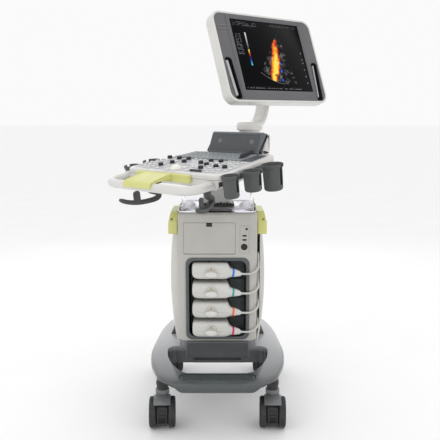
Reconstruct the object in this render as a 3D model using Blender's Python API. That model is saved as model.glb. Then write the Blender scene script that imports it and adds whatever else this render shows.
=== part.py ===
"""Trolley ultrasound machine: cast base on four braked casters, tower with four plugged probe
connectors, lifting and swivelling console with cups and cable hooks, and a monitor on a swan arm.

Units are metres, +Z is up, the front of the machine faces -Y.  The machine frame has its origin
on the floor under the tower's axis; the whole machine is then shifted by MACHINE_SHIFT so that
the scene origin is the middle of its footprint.
"""

import math

import bmesh
import bpy
from mathutils import Matrix, Vector

# ---------------------------------------------------------------- driving dimensions
GAP = 0.0003                              # clearance between touching pieces
MACHINE_SHIFT = (-0.0235, -0.066, 0.0)      # machine frame in the scene
ARC_STEPS = 3                             # segments in one rounded corner
ROUND = 20                                # sides of a turned piece

# casters
WHEEL_R = 0.0550
WHEEL_INNER_X = 0.0215
WHEEL_OUTER_X = 0.0465
AXLE_R = 0.006
TRAIL = 0.026                             # axle behind the swivel axis
CASTERS = {                               # name: (x, y, direction of the pedal, toe angle in degrees)
    "front_left": (-0.199, -0.2105, -1, 3.0),
    "front_right": (0.199, -0.2105, -1, -3.0),
    "rear_left": (-0.199, 0.235, 1, 12.0),
    "rear_right": (0.199, 0.235, 1, -10.0),
}
PEDAL_PIVOT = (0.0414, 0.0827)              # distance in front of the axle, and height

# base
BASE_BOTTOM = 0.157
BASE_FRONT_Y = -0.318
BASE_REAR_Y = 0.268
BASE_TOP_FRONT = 0.195
BASE_TOP_SLOPE = 0.100
PLINTH_TOP = 0.262

# tower
TOWER_HALF_W = 0.145
TOWER_FRONT_Y = -0.130
TOWER_BACK_Y = 0.225
SIDE_COVER_FRONT_Y = -0.078
TOWER_BOTTOM = 0.283
TOWER_TOP = 0.763
TOWER_WALL = 0.003
CABLE_SLOT_X = 0.1565                     # right lip of the rear cover, past the leads
COLUMN_Y = 0.055                          # lift column and console swivel axis
DOOR = (-0.122, 0.064, 0.611, 0.725)      # x low, x high, z low, z high
IO_PANEL = (0.081, 0.114, 0.614, 0.715)
BAY = (-0.116, 0.116, 0.288, 0.597)

# probe connectors
CONNECTOR_TOP_Z = 0.5495                  # centre height of the highest connector
CONNECTOR_PITCH = 0.073
CONNECTOR_COUNT = 4
LOCK_X = -0.023
CABLE_R = 0.00375
CABLE_START_X = 0.0835
CABLE_Y = -0.141

# lift column
COLUMN_HALF_X = 0.0555
COLUMN_HALF_Y = 0.0455
COLUMN_TOP = 0.8485
LIFT_TRAVEL = 0.15

# console, in its own tilted frame: x right, y to the rear, z up from its top face
CONSOLE_CENTRE = (-0.045, 0.009, 0.936)
CONSOLE_YAW = math.radians(-42.9)
CONSOLE_TILT = math.radians(8.2)
CONSOLE_FRONT_HALF = 0.253
CONSOLE_REAR_HALF = 0.192
CONSOLE_HALF_DEPTH = 0.187
TOP_COVER_T = 0.018
HANDLE_R = 0.016
HANDLE_OFFSET_X = -0.025
TRACKBALL = (-0.020, -0.135, -0.012)
TRACKBALL_R = 0.0255
CUPS = {                                  # name: (x, y, rim z, rim radius, height, slot angle)
    "cup_right_front": (0.284, -0.180, 0.004, 0.031, 0.076, 10.0),
    "cup_right_middle": (0.2825, -0.068, -0.003, 0.0355, 0.072, 10.0),
    "cup_right_rear": (0.2800, 0.045, -0.004, 0.040, 0.094, 10.0),
    "cup_left_front": (-0.284, -0.125, -0.005, 0.031, 0.060, 170.0),
    "cup_left_rear": (-0.281, -0.025, -0.005, 0.0355, 0.060, 170.0),
}

HOOK_FEET = {"cable_hook_left": (-0.1720, -0.1480, 0.0), "cable_hook_right": (0.1253, -0.1336, 0.0)}

# monitor and its arm
ARM_AXIS = (0.1272, 0.1943)
ARM_BOTTOM = 1.045
KNUCKLE_AXIS = (0.189, 0.300)
ARM_TOP = 1.225
TILT_AXIS_Z = 1.262
SCREEN_CENTRE = (0.221, 0.254, 1.339)
SCREEN_YAW = math.radians(38.0)
SCREEN_TILT = math.radians(-20.8)
SCREEN_HALF_W = 0.183
SCREEN_HALF_H = 0.1464
HOUSING_HALF_W = 0.2605
HOUSING_HALF_H = 0.1815
HOUSING_CENTRE = (-0.0075, -0.0115)       # of the housing outline, from the screen's centre
HOUSING_DEPTH = 0.060

COLOURS = {                               # colour, roughness, metallic
    "white_plastic": ((0.78, 0.78, 0.76), 0.38, 0.0),
    "beige_plastic": ((0.62, 0.61, 0.58), 0.42, 0.0),
    "light_plastic": ((0.70, 0.71, 0.72), 0.40, 0.0),
    "grey_paint": ((0.36, 0.38, 0.40), 0.30, 0.0),
    "dark_plastic": ((0.10, 0.105, 0.11), 0.50, 0.0),
    "bay_plastic": ((0.055, 0.06, 0.065), 0.50, 0.0),
    "tread_rubber": ((0.13, 0.145, 0.15), 0.70, 0.0),
    "wheel_tyre": ((0.03, 0.03, 0.035), 0.60, 0.0),
    "caster_grey": ((0.27, 0.28, 0.29), 0.35, 0.0),
    "lime_plastic": ((0.66, 0.66, 0.22), 0.45, 0.0),
    "clear_plastic": ((0.80, 0.82, 0.85), 0.12, 0.0),
    "steel": ((0.45, 0.46, 0.48), 0.35, 1.0),
    "cable_jacket": ((0.62, 0.62, 0.60), 0.50, 0.0),
    "cream_ball": ((0.80, 0.78, 0.68), 0.20, 0.0),
    "key_plastic": ((0.13, 0.15, 0.155), 0.50, 0.0),
    "bezel_grey": ((0.15, 0.15, 0.16), 0.45, 0.0),
    "screen_glass": ((0.01, 0.01, 0.012), 0.15, 0.0),
}


# ---------------------------------------------------------------- scene and materials
def clear_scene():
    for obj in list(bpy.data.objects):
        bpy.data.objects.remove(obj, do_unlink=True)


def material(name):
    mat = bpy.data.materials.get(name)
    if mat is None:
        colour, roughness, metallic = COLOURS[name]
        mat = bpy.data.materials.new(name)
        mat.use_nodes = True
        shader = mat.node_tree.nodes["Principled BSDF"]
        shader.inputs["Base Color"].default_value = (*colour, 1.0)
        shader.inputs["Roughness"].default_value = roughness
        shader.inputs["Metallic"].default_value = metallic
        mat.diffuse_color = (*colour, 1.0)
    return mat


def empty(name, location, parent=None, rotation=(0.0, 0.0, 0.0)):
    obj = bpy.data.objects.new(name, None)
    obj.location = location
    obj.rotation_euler = rotation
    obj.parent = parent
    bpy.context.scene.collection.objects.link(obj)
    return obj


def add_object(name, bm, mat, parent, location=(0.0, 0.0, 0.0), rotation=(0.0, 0.0, 0.0)):
    """Turn a bmesh into a linked object whose faces point out, smooth up to 35 degrees."""
    bmesh.ops.recalc_face_normals(bm, faces=bm.faces)
    mesh = bpy.data.meshes.new(name)
    bm.to_mesh(mesh)
    bm.free()
    mesh.shade_smooth()
    mesh.set_sharp_from_angle(angle=math.radians(35.0))
    obj = bpy.data.objects.new(name, mesh)
    obj.location = location
    obj.rotation_euler = rotation
    obj.parent = parent
    if mat:
        mesh.materials.append(material(mat))
    bpy.context.scene.collection.objects.link(obj)
    return obj


# ---------------------------------------------------------------- outlines
def rounded_outline(corners, blends, steps=ARC_STEPS):
    """Closed 2-D outline through corner points, each corner rounded over its blend length."""
    points = []
    count = len(corners)
    for i, corner in enumerate(corners):
        here = Vector(corner)
        before = (Vector(corners[i - 1]) - here).normalized()
        after = (Vector(corners[(i + 1) % count]) - here).normalized()
        start = here + before * blends[i]
        end = here + after * blends[i]
        start_handle = start.lerp(here, 0.5523)
        end_handle = end.lerp(here, 0.5523)
        for k in range(steps + 1):
            t = k / steps
            s = 1.0 - t
            points.append(start * s**3 + start_handle * 3 * s * s * t
                          + end_handle * 3 * s * t * t + end * t**3)
    return [(p.x, p.y) for p in points]


def rect(low_a, high_a, low_b, high_b, radius, steps=ARC_STEPS):
    corners = [(low_a, low_b), (high_a, low_b), (high_a, high_b), (low_a, high_b)]
    return rounded_outline(corners, [radius] * 4, steps)


def centred_rect(half_a, half_b, radius, centre=(0.0, 0.0), steps=ARC_STEPS):
    return rect(centre[0] - half_a, centre[0] + half_a, centre[1] - half_b, centre[1] + half_b,
                radius, steps)


def circle(radius, centre=(0.0, 0.0), count=ROUND):
    step = 2.0 * math.pi / count
    return [(centre[0] + radius * math.cos((i + 0.5) * step),
             centre[1] + radius * math.sin((i + 0.5) * step)) for i in range(count)]


def on_xy(outline, z):
    return [Vector((a, b, z)) for a, b in outline]


def on_xz(outline, y):
    return [Vector((a, y, b)) for a, b in outline]


def on_yz(outline, x):
    return [Vector((x, a, b)) for a, b in outline]


# ---------------------------------------------------------------- solids
def skin(rings, loop=False):
    """A bmesh closed over successive rings of equal length, with flat ends unless looped."""
    bm = bmesh.new()
    rows = [[bm.verts.new(point) for point in ring] for ring in rings]
    count = len(rows[0])
    pairs = list(zip(rows, rows[1:]))
    if loop:
        pairs.append((rows[-1], rows[0]))
    for low, high in pairs:
        for i in range(count):
            j = (i + 1) % count
            bm.faces.new((low[i], low[j], high[j], high[i]))
    if not loop:
        bm.faces.new(list(reversed(rows[0])))
        bm.faces.new(rows[-1])
    bmesh.ops.triangulate(bm, faces=bm.faces)
    return bm


def loft(name, rings, mat, parent, loop=False, location=(0.0, 0.0, 0.0), rotation=(0.0, 0.0, 0.0)):
    return add_object(name, skin(rings, loop), mat, parent, location, rotation)


def block(name, low, high, radius, mat, parent, location=(0.0, 0.0, 0.0), rotation=(0.0, 0.0, 0.0)):
    """Upright box with rounded vertical edges."""
    outline = rect(low[0], high[0], low[1], high[1], radius, 3)
    return loft(name, [on_xy(outline, low[2]), on_xy(outline, high[2])], mat, parent,
                location=location, rotation=rotation)


def sweep(path, section_at):
    """Rings of a section carried along a path; section_at(t) gives (across, up) points."""
    rings = []
    count = len(path)
    side = None
    for i, point in enumerate(path):
        ahead = path[min(i + 1, count - 1)]
        behind = path[max(i - 1, 0)]
        forward = (ahead - behind).normalized()
        if side is None:
            side = forward.cross(Vector((0.0, 0.0, 1.0)))
            if side.length < 0.1:
                side = Vector((1.0, 0.0, 0.0))
        side = (side - forward * side.dot(forward)).normalized()
        up = side.cross(forward).normalized()
        outline = section_at(i / (count - 1))
        rings.append([point + side * a + up * b for a, b in outline])
    return rings


def smooth_path(points, per_span):
    """Catmull-Rom curve through the given points."""
    route = [Vector(p) for p in points]
    ends = [route[0] * 2 - route[1]] + route + [route[-1] * 2 - route[-2]]
    path = []
    for i in range(len(route) - 1):
        a, b, c, d = ends[i:i + 4]
        for k in range(per_span):
            t = k / per_span
            path.append(0.5 * (b * 2 + (c - a) * t + (a * 2 - b * 5 + c * 4 - d) * t**2
                               + (b * 3 - a - c * 3 + d) * t**3))
    path.append(route[-1])
    return path


def use_boolean(target, tool, operation):
    """Apply a hidden solid to a target as a Boolean modifier."""
    tool.hide_render = True
    tool.display_type = "WIRE"
    modifier = target.modifiers.new(operation.lower(), "BOOLEAN")
    modifier.operation = operation
    modifier.solver = "EXACT"
    modifier.object = tool


def cut(target, tool):
    use_boolean(target, tool, "DIFFERENCE")


def fuse(target, tool):
    use_boolean(target, tool, "UNION")


def cut_block(target, low, high, radius, parent, label):
    cut(target, block(f"{target.name}_{label}", low, high, radius, None, parent))


def drum(name, radius, low_z, high_z, mat, parent, centre=(0.0, 0.0), count=ROUND):
    outline = circle(radius, centre, count)
    return loft(name, [on_xy(outline, low_z), on_xy(outline, high_z)], mat, parent)


# ---------------------------------------------------------------- base
def ease(value, low, high):
    t = min(max((value - low) / (high - low), 0.0), 1.0)
    return t * t * (3.0 - 2.0 * t)


def base_outline(inset):
    half_front = 0.192 - inset
    half_mid = 0.262 - inset
    half_back = 0.232 - inset
    corners = [(-half_front, BASE_FRONT_Y + inset), (half_front, BASE_FRONT_Y + inset),
               (half_mid, -0.105), (half_back, 0.150),
               (0.190 - inset, BASE_REAR_Y - inset), (inset - 0.190, BASE_REAR_Y - inset),
               (-half_back, 0.150), (-half_mid, -0.105)]
    blends = [0.075, 0.075, 0.090, 0.050, 0.045, 0.045, 0.050, 0.090]
    return rounded_outline(corners, blends)


def base_rings():
    """Rounded slab: low at the front, rising to the rear, tucked up over the casters."""
    levels = [(0.000, 0.20), (0.000, 0.60), (0.006, 0.86), (0.022, 1.0)]
    rings = [on_xy(base_outline(0.030), BASE_BOTTOM)]
    for inset, level in levels:
        ring = []
        for x, y in base_outline(inset):
            low = BASE_BOTTOM + 0.026 * ease(abs(x), 0.120, 0.168)
            high = BASE_TOP_FRONT + BASE_TOP_SLOPE * (y - BASE_FRONT_Y)
            ring.append(Vector((x, y, low + (high - low) * level)))
        rings.append(ring)
    return rings


def make_base(machine):
    base = loft("base_casting", base_rings(), "grey_paint", machine)
    for side in (-1, 1):
        for end, y in (("front", -0.2105), ("rear", 0.235)):
            well = drum(f"caster_well_{end}_{side}", 0.0415, 0.10, 0.184, None, machine,
                        (side * 0.199, y), 18)
            cut(base, well)
    opening = rounded_outline(
        [(-0.122, -0.241), (0.122, -0.241), (0.170, -0.170), (0.190, -0.100), (0.190, -0.030),
         (-0.190, -0.030), (-0.190, -0.100), (-0.170, -0.170)],
        [0.025, 0.025, 0.030, 0.030, 0.030, 0.030, 0.030, 0.030])
    cut(base, loft("base_opening", [on_xy(opening, 0.10), on_xy(opening, 0.40)], None, machine))
    plinth = block("plinth", (-0.138, -0.026, 0.200), (0.138, 0.205, PLINTH_TOP), 0.020,
                   None, machine)
    fuse(base, plinth)
    tread_bed = block("tread_bed", (-0.135, -0.296, 0.1885), (0.135, -0.2445, 0.230), 0.015, None, machine)
    cut(base, tread_bed)
    block("footrest_tread", (-0.1345, -0.2955, 0.1885 + GAP), (0.1345, -0.2450, 0.1985), 0.0148,
          "tread_rubber", machine)
    rings = []
    for half, front, back, z in ((0.1195, -0.121, -0.114, 0.204), (0.1195, -0.124, -0.114, 0.208),
                                 (0.1165, -0.132, -0.122, 0.245), (0.1125, -0.1375, -0.128, 0.282)):
        rings.append(on_xy(rect(-half, half, front, back, 0.003), z))
    loft("base_apron", rings, "dark_plastic", machine)


# ---------------------------------------------------------------- casters
def wheel_rings():
    flat_r = 1.0 / math.cos(math.pi / ROUND)
    profile = [(WHEEL_OUTER_X, 0.0466), (WHEEL_OUTER_X - 0.005, WHEEL_R), (WHEEL_INNER_X + 0.004, WHEEL_R),
               (WHEEL_INNER_X, 0.0493), (WHEEL_INNER_X, AXLE_R)]
    profile = [(-x, r) for x, r in profile] + [(x, r) for x, r in reversed(profile)]
    return [on_yz(circle(r * flat_r), x) for x, r in profile]


def make_caster(name, machine):
    x, y, front, toe = CASTERS[name]
    swivel = empty(f"caster_{name}_swivel", (x, y, 0.0), machine, (0.0, 0.0, math.radians(toe)))
    axle_y = front * TRAIL
    yoke = loft(f"caster_{name}_yoke",
                [on_yz(circle(0.044, (axle_y, WHEEL_R), 16), -WHEEL_INNER_X + 0.0012),
                 on_yz(circle(0.044, (axle_y, WHEEL_R), 16), WHEEL_INNER_X - 0.0012)], "caster_grey", swivel)
    web_y = sorted((axle_y - front * 0.028, axle_y + front * 0.016))
    fuse(yoke, block(f"caster_{name}_web", (-0.0200, web_y[0], 0.075), (0.0200, web_y[1], 0.1125), 0.004,
                     None, swivel))
    fender = []
    for angle in (48.0, 62.0, 76.0, 90.0, 105.0, 122.0):
        turn = math.radians(angle)
        fender.append([Vector((x_side * 0.0295, axle_y + front * radius * math.cos(turn),
                               WHEEL_R + radius * math.sin(turn)))
                       for x_side, radius in ((-1, 0.0570), (1, 0.0570), (1, 0.0608), (-1, 0.0608))])
    fuse(yoke, loft(f"caster_{name}_fender", fender, None, swivel))
    fuse(yoke, drum(f"caster_{name}_stem", 0.021, 0.0980, 0.1815, None, swivel, count=14))
    bore = circle(AXLE_R + 0.0010, (axle_y, WHEEL_R), 10)
    cut(yoke, loft(f"caster_{name}_bore", [on_yz(bore, -0.05), on_yz(bore, 0.05)], None, swivel))
    loft(f"caster_{name}_wheels", wheel_rings(), "wheel_tyre", swivel, location=(0.0, axle_y, WHEEL_R))
    reach, height = PEDAL_PIVOT
    pivot = (0.0, axle_y + front * reach, height)
    arc = [math.radians(a) for a in (30.0, 14.0, -4.0, -24.0)]
    rings = []
    for k, angle in enumerate(arc):
        inner, outer = 0.0453, 0.0506 + 0.0035 * (k == 3)
        ring = []
        for side, radius in ((-1, inner), (1, inner), (1, outer), (-1, outer)):
            along = front * radius * math.cos(angle) + axle_y - pivot[1]
            up = radius * math.sin(angle) + WHEEL_R - height
            ring.append(Vector((side * 0.0175, along, up)))
        rings.append(ring)
    loft(f"caster_{name}_pedal", rings, "dark_plastic", swivel, location=pivot)


# ---------------------------------------------------------------- tower
def side_cover_half(z):
    """Half width of the bulging side covers at a height."""
    t = min(max((z - 0.260) / 0.505, 0.0), 1.0)
    return 0.1505 + 0.0240 * math.sin(math.pi * t) ** 0.8


def rear_cover_outer(z):
    half, front, back = side_cover_half(z), SIDE_COVER_FRONT_Y, TOWER_BACK_Y
    outline = rounded_outline([(half, front), (half, back), (-half, back), (-half, front)],
                              [0.003, 0.045, 0.045, 0.003])
    return on_xy(outline, z)


def rear_cover_inner(z, at_z):
    """Hollow of the rear cover at a height: full width inside, narrower at its front lips."""
    wall = 0.004
    half = side_cover_half(z) - wall
    back = TOWER_BACK_Y - wall
    mouth, shoulder = SIDE_COVER_FRONT_Y - 0.020, SIDE_COVER_FRONT_Y + 0.030
    near = TOWER_HALF_W + 0.0008
    far = max(min(CABLE_SLOT_X, half - 0.003), near)
    outline = rounded_outline(
        [(-near, mouth), (-near, shoulder), (-half, shoulder + 0.010), (-half, back),
         (half, back), (half, shoulder + 0.010), (far, shoulder), (far, mouth)],
        [0.001, 0.0015, 0.0015, 0.042, 0.042, 0.0015, 0.0015, 0.001], 2)
    return on_xy(outline, at_z)


def make_tower_covers(machine):
    heights = [0.2627, 0.310, 0.370, 0.450, 0.530, 0.610, 0.680, 0.725, 0.7515]
    rear = loft("tower_rear_cover", [rear_cover_outer(z) for z in heights], "white_plastic", machine)
    hollow = [rear_cover_inner(heights[0], 0.240)]
    hollow += [rear_cover_inner(z, z) for z in heights[1:-1]]
    hollow += [rear_cover_inner(heights[-1], 0.780)]
    cut(rear, loft("rear_cover_hollow", hollow, None, machine))
    for side in (-1, 1):
        low_x, high_x = sorted((side * 0.1400, side * 0.2000))
        cut_block(rear, (low_x, -0.0815, 0.6742), (high_x, 0.1015, 0.7600), 0.004, machine,
                  f"handle_notch_{side}")

    levels = [(TOWER_BOTTOM, 0.0), (TOWER_TOP - 0.012, 0.0), (TOWER_TOP - 0.004, 0.003), (TOWER_TOP, 0.010)]
    rings = [on_xy(rect(-TOWER_HALF_W + inset, TOWER_HALF_W - inset, TOWER_FRONT_Y + inset,
                        0.205 - inset, 0.030), z) for z, inset in levels]
    front = loft("tower_front_cover", rings, "beige_plastic", machine)
    inner_w = TOWER_HALF_W - TOWER_WALL
    inner_front = TOWER_FRONT_Y + TOWER_WALL
    inside = [(0.20, 0.0), (TOWER_TOP - 0.014, 0.0), (TOWER_TOP - 0.0045, 0.007)]
    cut(front, loft("front_inside", [on_xy(rect(inset - inner_w, inner_w - inset, inner_front + inset,
                                                0.202 - inset, 0.027), z) for z, inset in inside],
                    None, machine))
    cut_block(front, (-0.20, -0.055, 0.20), (0.20, 0.30, 0.7520), 0.002, machine, "back")
    cut_block(front, (DOOR[0] - 0.0006, -0.20, DOOR[2] - 0.0016), (DOOR[1] + 0.0006, -0.12, DOOR[3] + 0.0006),
              0.0005, machine, "door_hole")
    cut_block(front, (IO_PANEL[0] - 0.0005, -0.20, IO_PANEL[2] - 0.0005),
              (IO_PANEL[1] + 0.0005, -0.12, IO_PANEL[3] + 0.0005), 0.0005, machine, "io_hole")
    bay_hole = rect(BAY[0] + 0.008, BAY[1] - 0.008, BAY[2] + 0.0065, BAY[3] - 0.0065, 0.018)
    cut(front, loft("bay_hole", [on_xz(bay_hole, -0.20), on_xz(bay_hole, -0.10)], None, machine))
    column_hole = centred_rect(0.064, 0.054, 0.022, (0.0, COLUMN_Y))
    cut(front, loft("column_hole", [on_xy(column_hole, 0.70), on_xy(column_hole, 0.80)], None, machine))


def make_side_handles(machine):
    for name, side in (("side_handle_left", -1), ("side_handle_right", 1)):
        rings = []
        for z, inner, outer, front, back in ((0.6750, 0.1525, 0.1805, -0.0800, 0.1000),
                                             (0.6780, 0.1525, 0.1820, -0.0805, 0.1005),
                                             (0.7150, 0.1525, 0.1820, -0.0805, 0.1005),
                                             (0.7230, 0.1520, 0.1800, -0.0780, 0.0990),
                                             (0.7540, 0.1500, 0.1725, -0.0620, 0.0850),
                                             (0.7570, 0.1500, 0.1705, -0.0600, 0.0830)):
            low, high = sorted((side * inner, side * outer))
            rings.append(on_xy(rect(low, high, front, back, 0.004), z))
        handle = loft(name, rings, "lime_plastic", machine)
        low_x, high_x = sorted((side * 0.1590, side * 0.1768))
        cut_block(handle, (low_x, -0.0500, 0.650), (high_x, 0.0800, 0.7080), 0.005, machine, "grip")


def make_tower_front(machine):
    panel_outline = rect(IO_PANEL[0], IO_PANEL[1], IO_PANEL[2], IO_PANEL[3], 0.002)
    panel = loft("io_panel", [on_xz(panel_outline, -0.1302), on_xz(panel_outline, -0.1240)],
                 "beige_plastic", machine)
    centre_x = 0.5 * (IO_PANEL[0] + IO_PANEL[1])
    for label, radius, dx, z in (("headphone", 0.0042, 0.0075, 0.7025), ("mic", 0.0050, -0.0075, 0.7015),
                                 ("trigger", 0.0121, -0.001, 0.6368)):
        port = circle(radius, (centre_x + dx, z), 16)
        cut(panel, loft(f"port_{label}", [on_xz(port, -0.14), on_xz(port, -0.1262)], None, machine))
    for z in (0.6778, 0.6627):
        slot = rect(centre_x - 0.0075, centre_x + 0.0075, z - 0.0032, z + 0.0032, 0.0005)
        cut(panel, loft(f"slot_{round(z * 1000)}", [on_xz(slot, -0.14), on_xz(slot, -0.1262)], None, machine))

    hinge_y, hinge_z = -0.1282, DOOR[2] + 0.002
    door = block("module_door", (DOOR[0], -0.0020, DOOR[2] - hinge_z), (DOOR[1], 0.0020, DOOR[3] - hinge_z),
                 0.0005, "beige_plastic", machine, (0.0, hinge_y, hinge_z))
    cut_block(door, (-0.0405, -0.0100, 0.0975), (-0.0195, 0.0100, 0.1400), 0.0004, door, "latch_slot")
    block("door_latch", (-0.0100, -0.0022, -0.0040), (0.0100, 0.0020, 0.0040), 0.0006, "dark_plastic",
          machine, (-0.0300, hinge_y, DOOR[3] - 0.0056))

    lip_front, lip_back, floor = TOWER_FRONT_Y - 0.0032, TOWER_FRONT_Y - GAP, -0.0630

    def bay(inset, y, radius):
        return on_xz(rect(BAY[0] + inset, BAY[1] - inset, BAY[2] + inset, BAY[3] - inset, radius), y)

    loft("connector_bay",
         [bay(0.0090, floor + 0.0030, 0.017), bay(0.0090, lip_back, 0.017), bay(0.0, lip_back, 0.024),
          bay(0.0010, lip_front, 0.023), bay(0.0080, lip_front, 0.018), bay(0.0120, lip_back, 0.014),
          bay(0.0120, floor, 0.014)], "bay_plastic", machine)


# ---------------------------------------------------------------- probe connectors and leads
def make_connector(index, machine):
    z = CONNECTOR_TOP_Z - (index - 1) * CONNECTOR_PITCH
    back_y = -0.0633
    front_y = -0.1520
    mid_y = 0.5 * (front_y + back_y)
    deep = 0.5 * (back_y - front_y)
    nose_y = CABLE_Y
    rings = []
    for x, half_z, half_y, dy, dz, radius in (
            (-0.0920, 0.0255, deep - 0.004, mid_y, 0.0, 0.012), (-0.0880, 0.0290, deep, mid_y, 0.0, 0.012),
            (0.0300, 0.0290, deep - 0.003, mid_y - 0.003, 0.0, 0.012),
            (0.0370, 0.0280, 0.0320, -0.1180, -0.0005, 0.012),
            (0.0415, 0.0215, 0.0210, -0.1300, -0.0025, 0.012),
            (0.0480, 0.0168, 0.0155, -0.1362, -0.0048, 0.011),
            (0.0560, 0.0145, 0.0115, -0.1404, -0.0055, 0.010),
            (0.0620, 0.0145, 0.0110, nose_y, -0.0060, 0.009),
            (0.0830, 0.0065, 0.0062, nose_y, -0.0095, 0.005)):
        rings.append(on_yz(centred_rect(half_y, half_z, radius, (dy, z + dz), 3), x))
    loft(f"probe_connector_{index}", rings, "light_plastic", machine)

    disc = circle(0.0210)
    disc_small = circle(0.0195)

    def lever(half_a, half_b):
        step = 2.0 * math.pi / ROUND
        return [(half_a * math.cos((i + 0.5) * step), half_b * math.sin((i + 0.5) * step) - 0.0050)
                for i in range(ROUND)]

    loft(f"connector_lock_{index}",
         [on_xz(disc, -GAP), on_xz(disc, -0.0030), on_xz(disc_small, -0.0036),
          on_xz(lever(0.0185, 0.0095), -0.0037), on_xz(lever(0.0220, 0.0112), -0.0075),
          on_xz(lever(0.0225, 0.0115), -0.0120), on_xz(lever(0.0200, 0.0090), -0.0140)],
         "light_plastic", machine, location=(LOCK_X, front_y, z - 0.002))


def cable_route(index):
    """Route of one lead: out of its strain relief, round the front corner, up the side slot."""
    z = CONNECTOR_TOP_Z - (index - 1) * CONNECTOR_PITCH - 0.0095
    rise = (0.0, 0.062, 0.104, 0.132, 0.156)[index]
    lane_y = -0.100 + 0.013 * index
    end_y = -0.0106
    x_slot = 0.1500
    return [(CABLE_START_X, CABLE_Y, z), (0.108, CABLE_Y, z - 0.0005), (0.122, CABLE_Y + 0.001, z + 0.001),
            (0.136, CABLE_Y + 0.008, z + 0.006), (0.148, -0.121, z + 0.016),
            (x_slot, 0.5 * (lane_y - 0.121), z + 0.028), (x_slot, lane_y, z + 0.044),
            (x_slot, lane_y + 0.0015, z + rise - 0.016), (x_slot, lane_y + 0.008, z + rise - 0.003),
            (x_slot, lane_y + 0.020, z + rise), (x_slot, end_y, z + rise)]


def make_cable(index, machine):
    path = smooth_path(cable_route(index), 2)
    curve = bpy.data.curves.new(f"probe_cable_{index}", "CURVE")
    curve.dimensions = "3D"
    curve.bevel_depth = CABLE_R
    curve.bevel_resolution = 2
    curve.use_fill_caps = True
    spline = curve.splines.new("POLY")
    spline.points.add(len(path) - 1)
    for point, place in zip(spline.points, path):
        point.co = (*place, 1.0)
    curve.materials.append(material("cable_jacket"))
    obj = bpy.data.objects.new(f"probe_cable_{index}", curve)
    obj.parent = machine
    bpy.context.scene.collection.objects.link(obj)


# ---------------------------------------------------------------- inside the tower, and its top
def make_inside(machine):
    frame = block("chassis_frame", (-0.1360, -0.0600, PLINTH_TOP + GAP), (0.1360, 0.2000, 0.2720), 0.004,
                  "steel", machine)
    for side in (-1, 1):
        for label, y in (("front", -0.010), ("rear", 0.150)):
            low_x, high_x = sorted((side * 0.1180, side * 0.1360))
            fuse(frame, block(f"upright_{label}_{side}", (low_x, y, 0.2650), (high_x, y + 0.030, 0.7300), 0.002,
                              None, machine))
    fuse(frame, block("cable_lug", (0.1300, -0.0100, 0.4600), (0.1580, 0.0100, 0.6200), 0.002, None, machine))
    fuse(frame, block("top_tie_rear", (-0.1300, 0.1550, 0.7100), (0.1300, 0.1750, 0.7290), 0.002, None, machine))
    fuse(frame, block("front_bracket", (-0.0950, -0.1120, 0.1900), (0.0950, -0.1040, 0.2700), 0.002, None, machine))
    fuse(frame, block("front_shelf", (-0.0940, -0.1080, 0.2640), (0.0940, -0.0500, 0.2710), 0.002, None, machine))
    cut(frame, loft("frame_column_hole", [on_xy(centred_rect(0.0610, 0.0510, 0.020, (0.0, COLUMN_Y)), 0.20),
                                          on_xy(centred_rect(0.0610, 0.0510, 0.020, (0.0, COLUMN_Y)), 0.30)],
                    None, machine))
    block("electronics_rack", (-0.1150, 0.1120, 0.2900), (0.1150, 0.1480, 0.7000), 0.003, "steel", machine)

    def sleeve(grow, z):
        return on_xy(centred_rect(COLUMN_HALF_X + grow, COLUMN_HALF_Y + grow, 0.018 + grow, (0.0, COLUMN_Y)), z)

    loft("column_sleeve",
         [sleeve(0.0045, PLINTH_TOP + GAP), sleeve(0.0045, 0.7640), sleeve(0.0075, 0.7640), sleeve(0.0075, 0.7740),
          sleeve(0.0060, 0.7755), sleeve(0.0005, 0.7755), sleeve(0.0005, PLINTH_TOP + GAP)], "dark_plastic",
         machine, loop=True)


def make_tray(machine):
    """Clear tray round the column: low lip in front, walls rising to the rear."""
    def wall_top(y):
        return 0.7795 + 0.0275 * ease(y, -0.095, 0.015)

    low, floor = TOWER_TOP + GAP, TOWER_TOP + 0.0033

    def outline(inset):
        return rect(-0.1400 + inset, 0.1400 - inset, -0.1330 + inset, 0.1950 - inset, 0.028 - 0.5 * inset)

    hole = centred_rect(0.0660, 0.0560, 0.020, (0.0, COLUMN_Y))
    inset_top = [Vector((x, y, wall_top(y))) for x, y in outline(0.0050)]
    inner_top = [Vector((x, y, wall_top(y))) for x, y in outline(0.0080)]
    loft("storage_tray",
         [on_xy(outline(0.0), low), on_xy(outline(0.0), 0.7760), inset_top, inner_top,
          on_xy(outline(0.0090), floor), on_xy(hole, floor), on_xy(hole, low)],
         "clear_plastic", machine, loop=True)


# ---------------------------------------------------------------- lift and console
def make_lift(machine):
    lift = empty("lift_axis", (0.0, COLUMN_Y, 0.0), machine)
    outline = centred_rect(COLUMN_HALF_X, COLUMN_HALF_Y, 0.018)
    loft("lift_column", [on_xy(outline, 0.4200), on_xy(outline, COLUMN_TOP)], "white_plastic", lift)
    return lift


def console_outline(inset):
    front, rear, half = CONSOLE_FRONT_HALF - inset, CONSOLE_REAR_HALF - inset, CONSOLE_HALF_DEPTH - inset
    corners = [(-front, -half), (front, -half), (rear, half), (-rear, half)]
    return rounded_outline(corners, [0.045, 0.045, 0.034, 0.034])


def console_side_x(y):
    t = (y + CONSOLE_HALF_DEPTH) / (2.0 * CONSOLE_HALF_DEPTH)
    return CONSOLE_FRONT_HALF + (CONSOLE_REAR_HALF - CONSOLE_FRONT_HALF) * t


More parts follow.
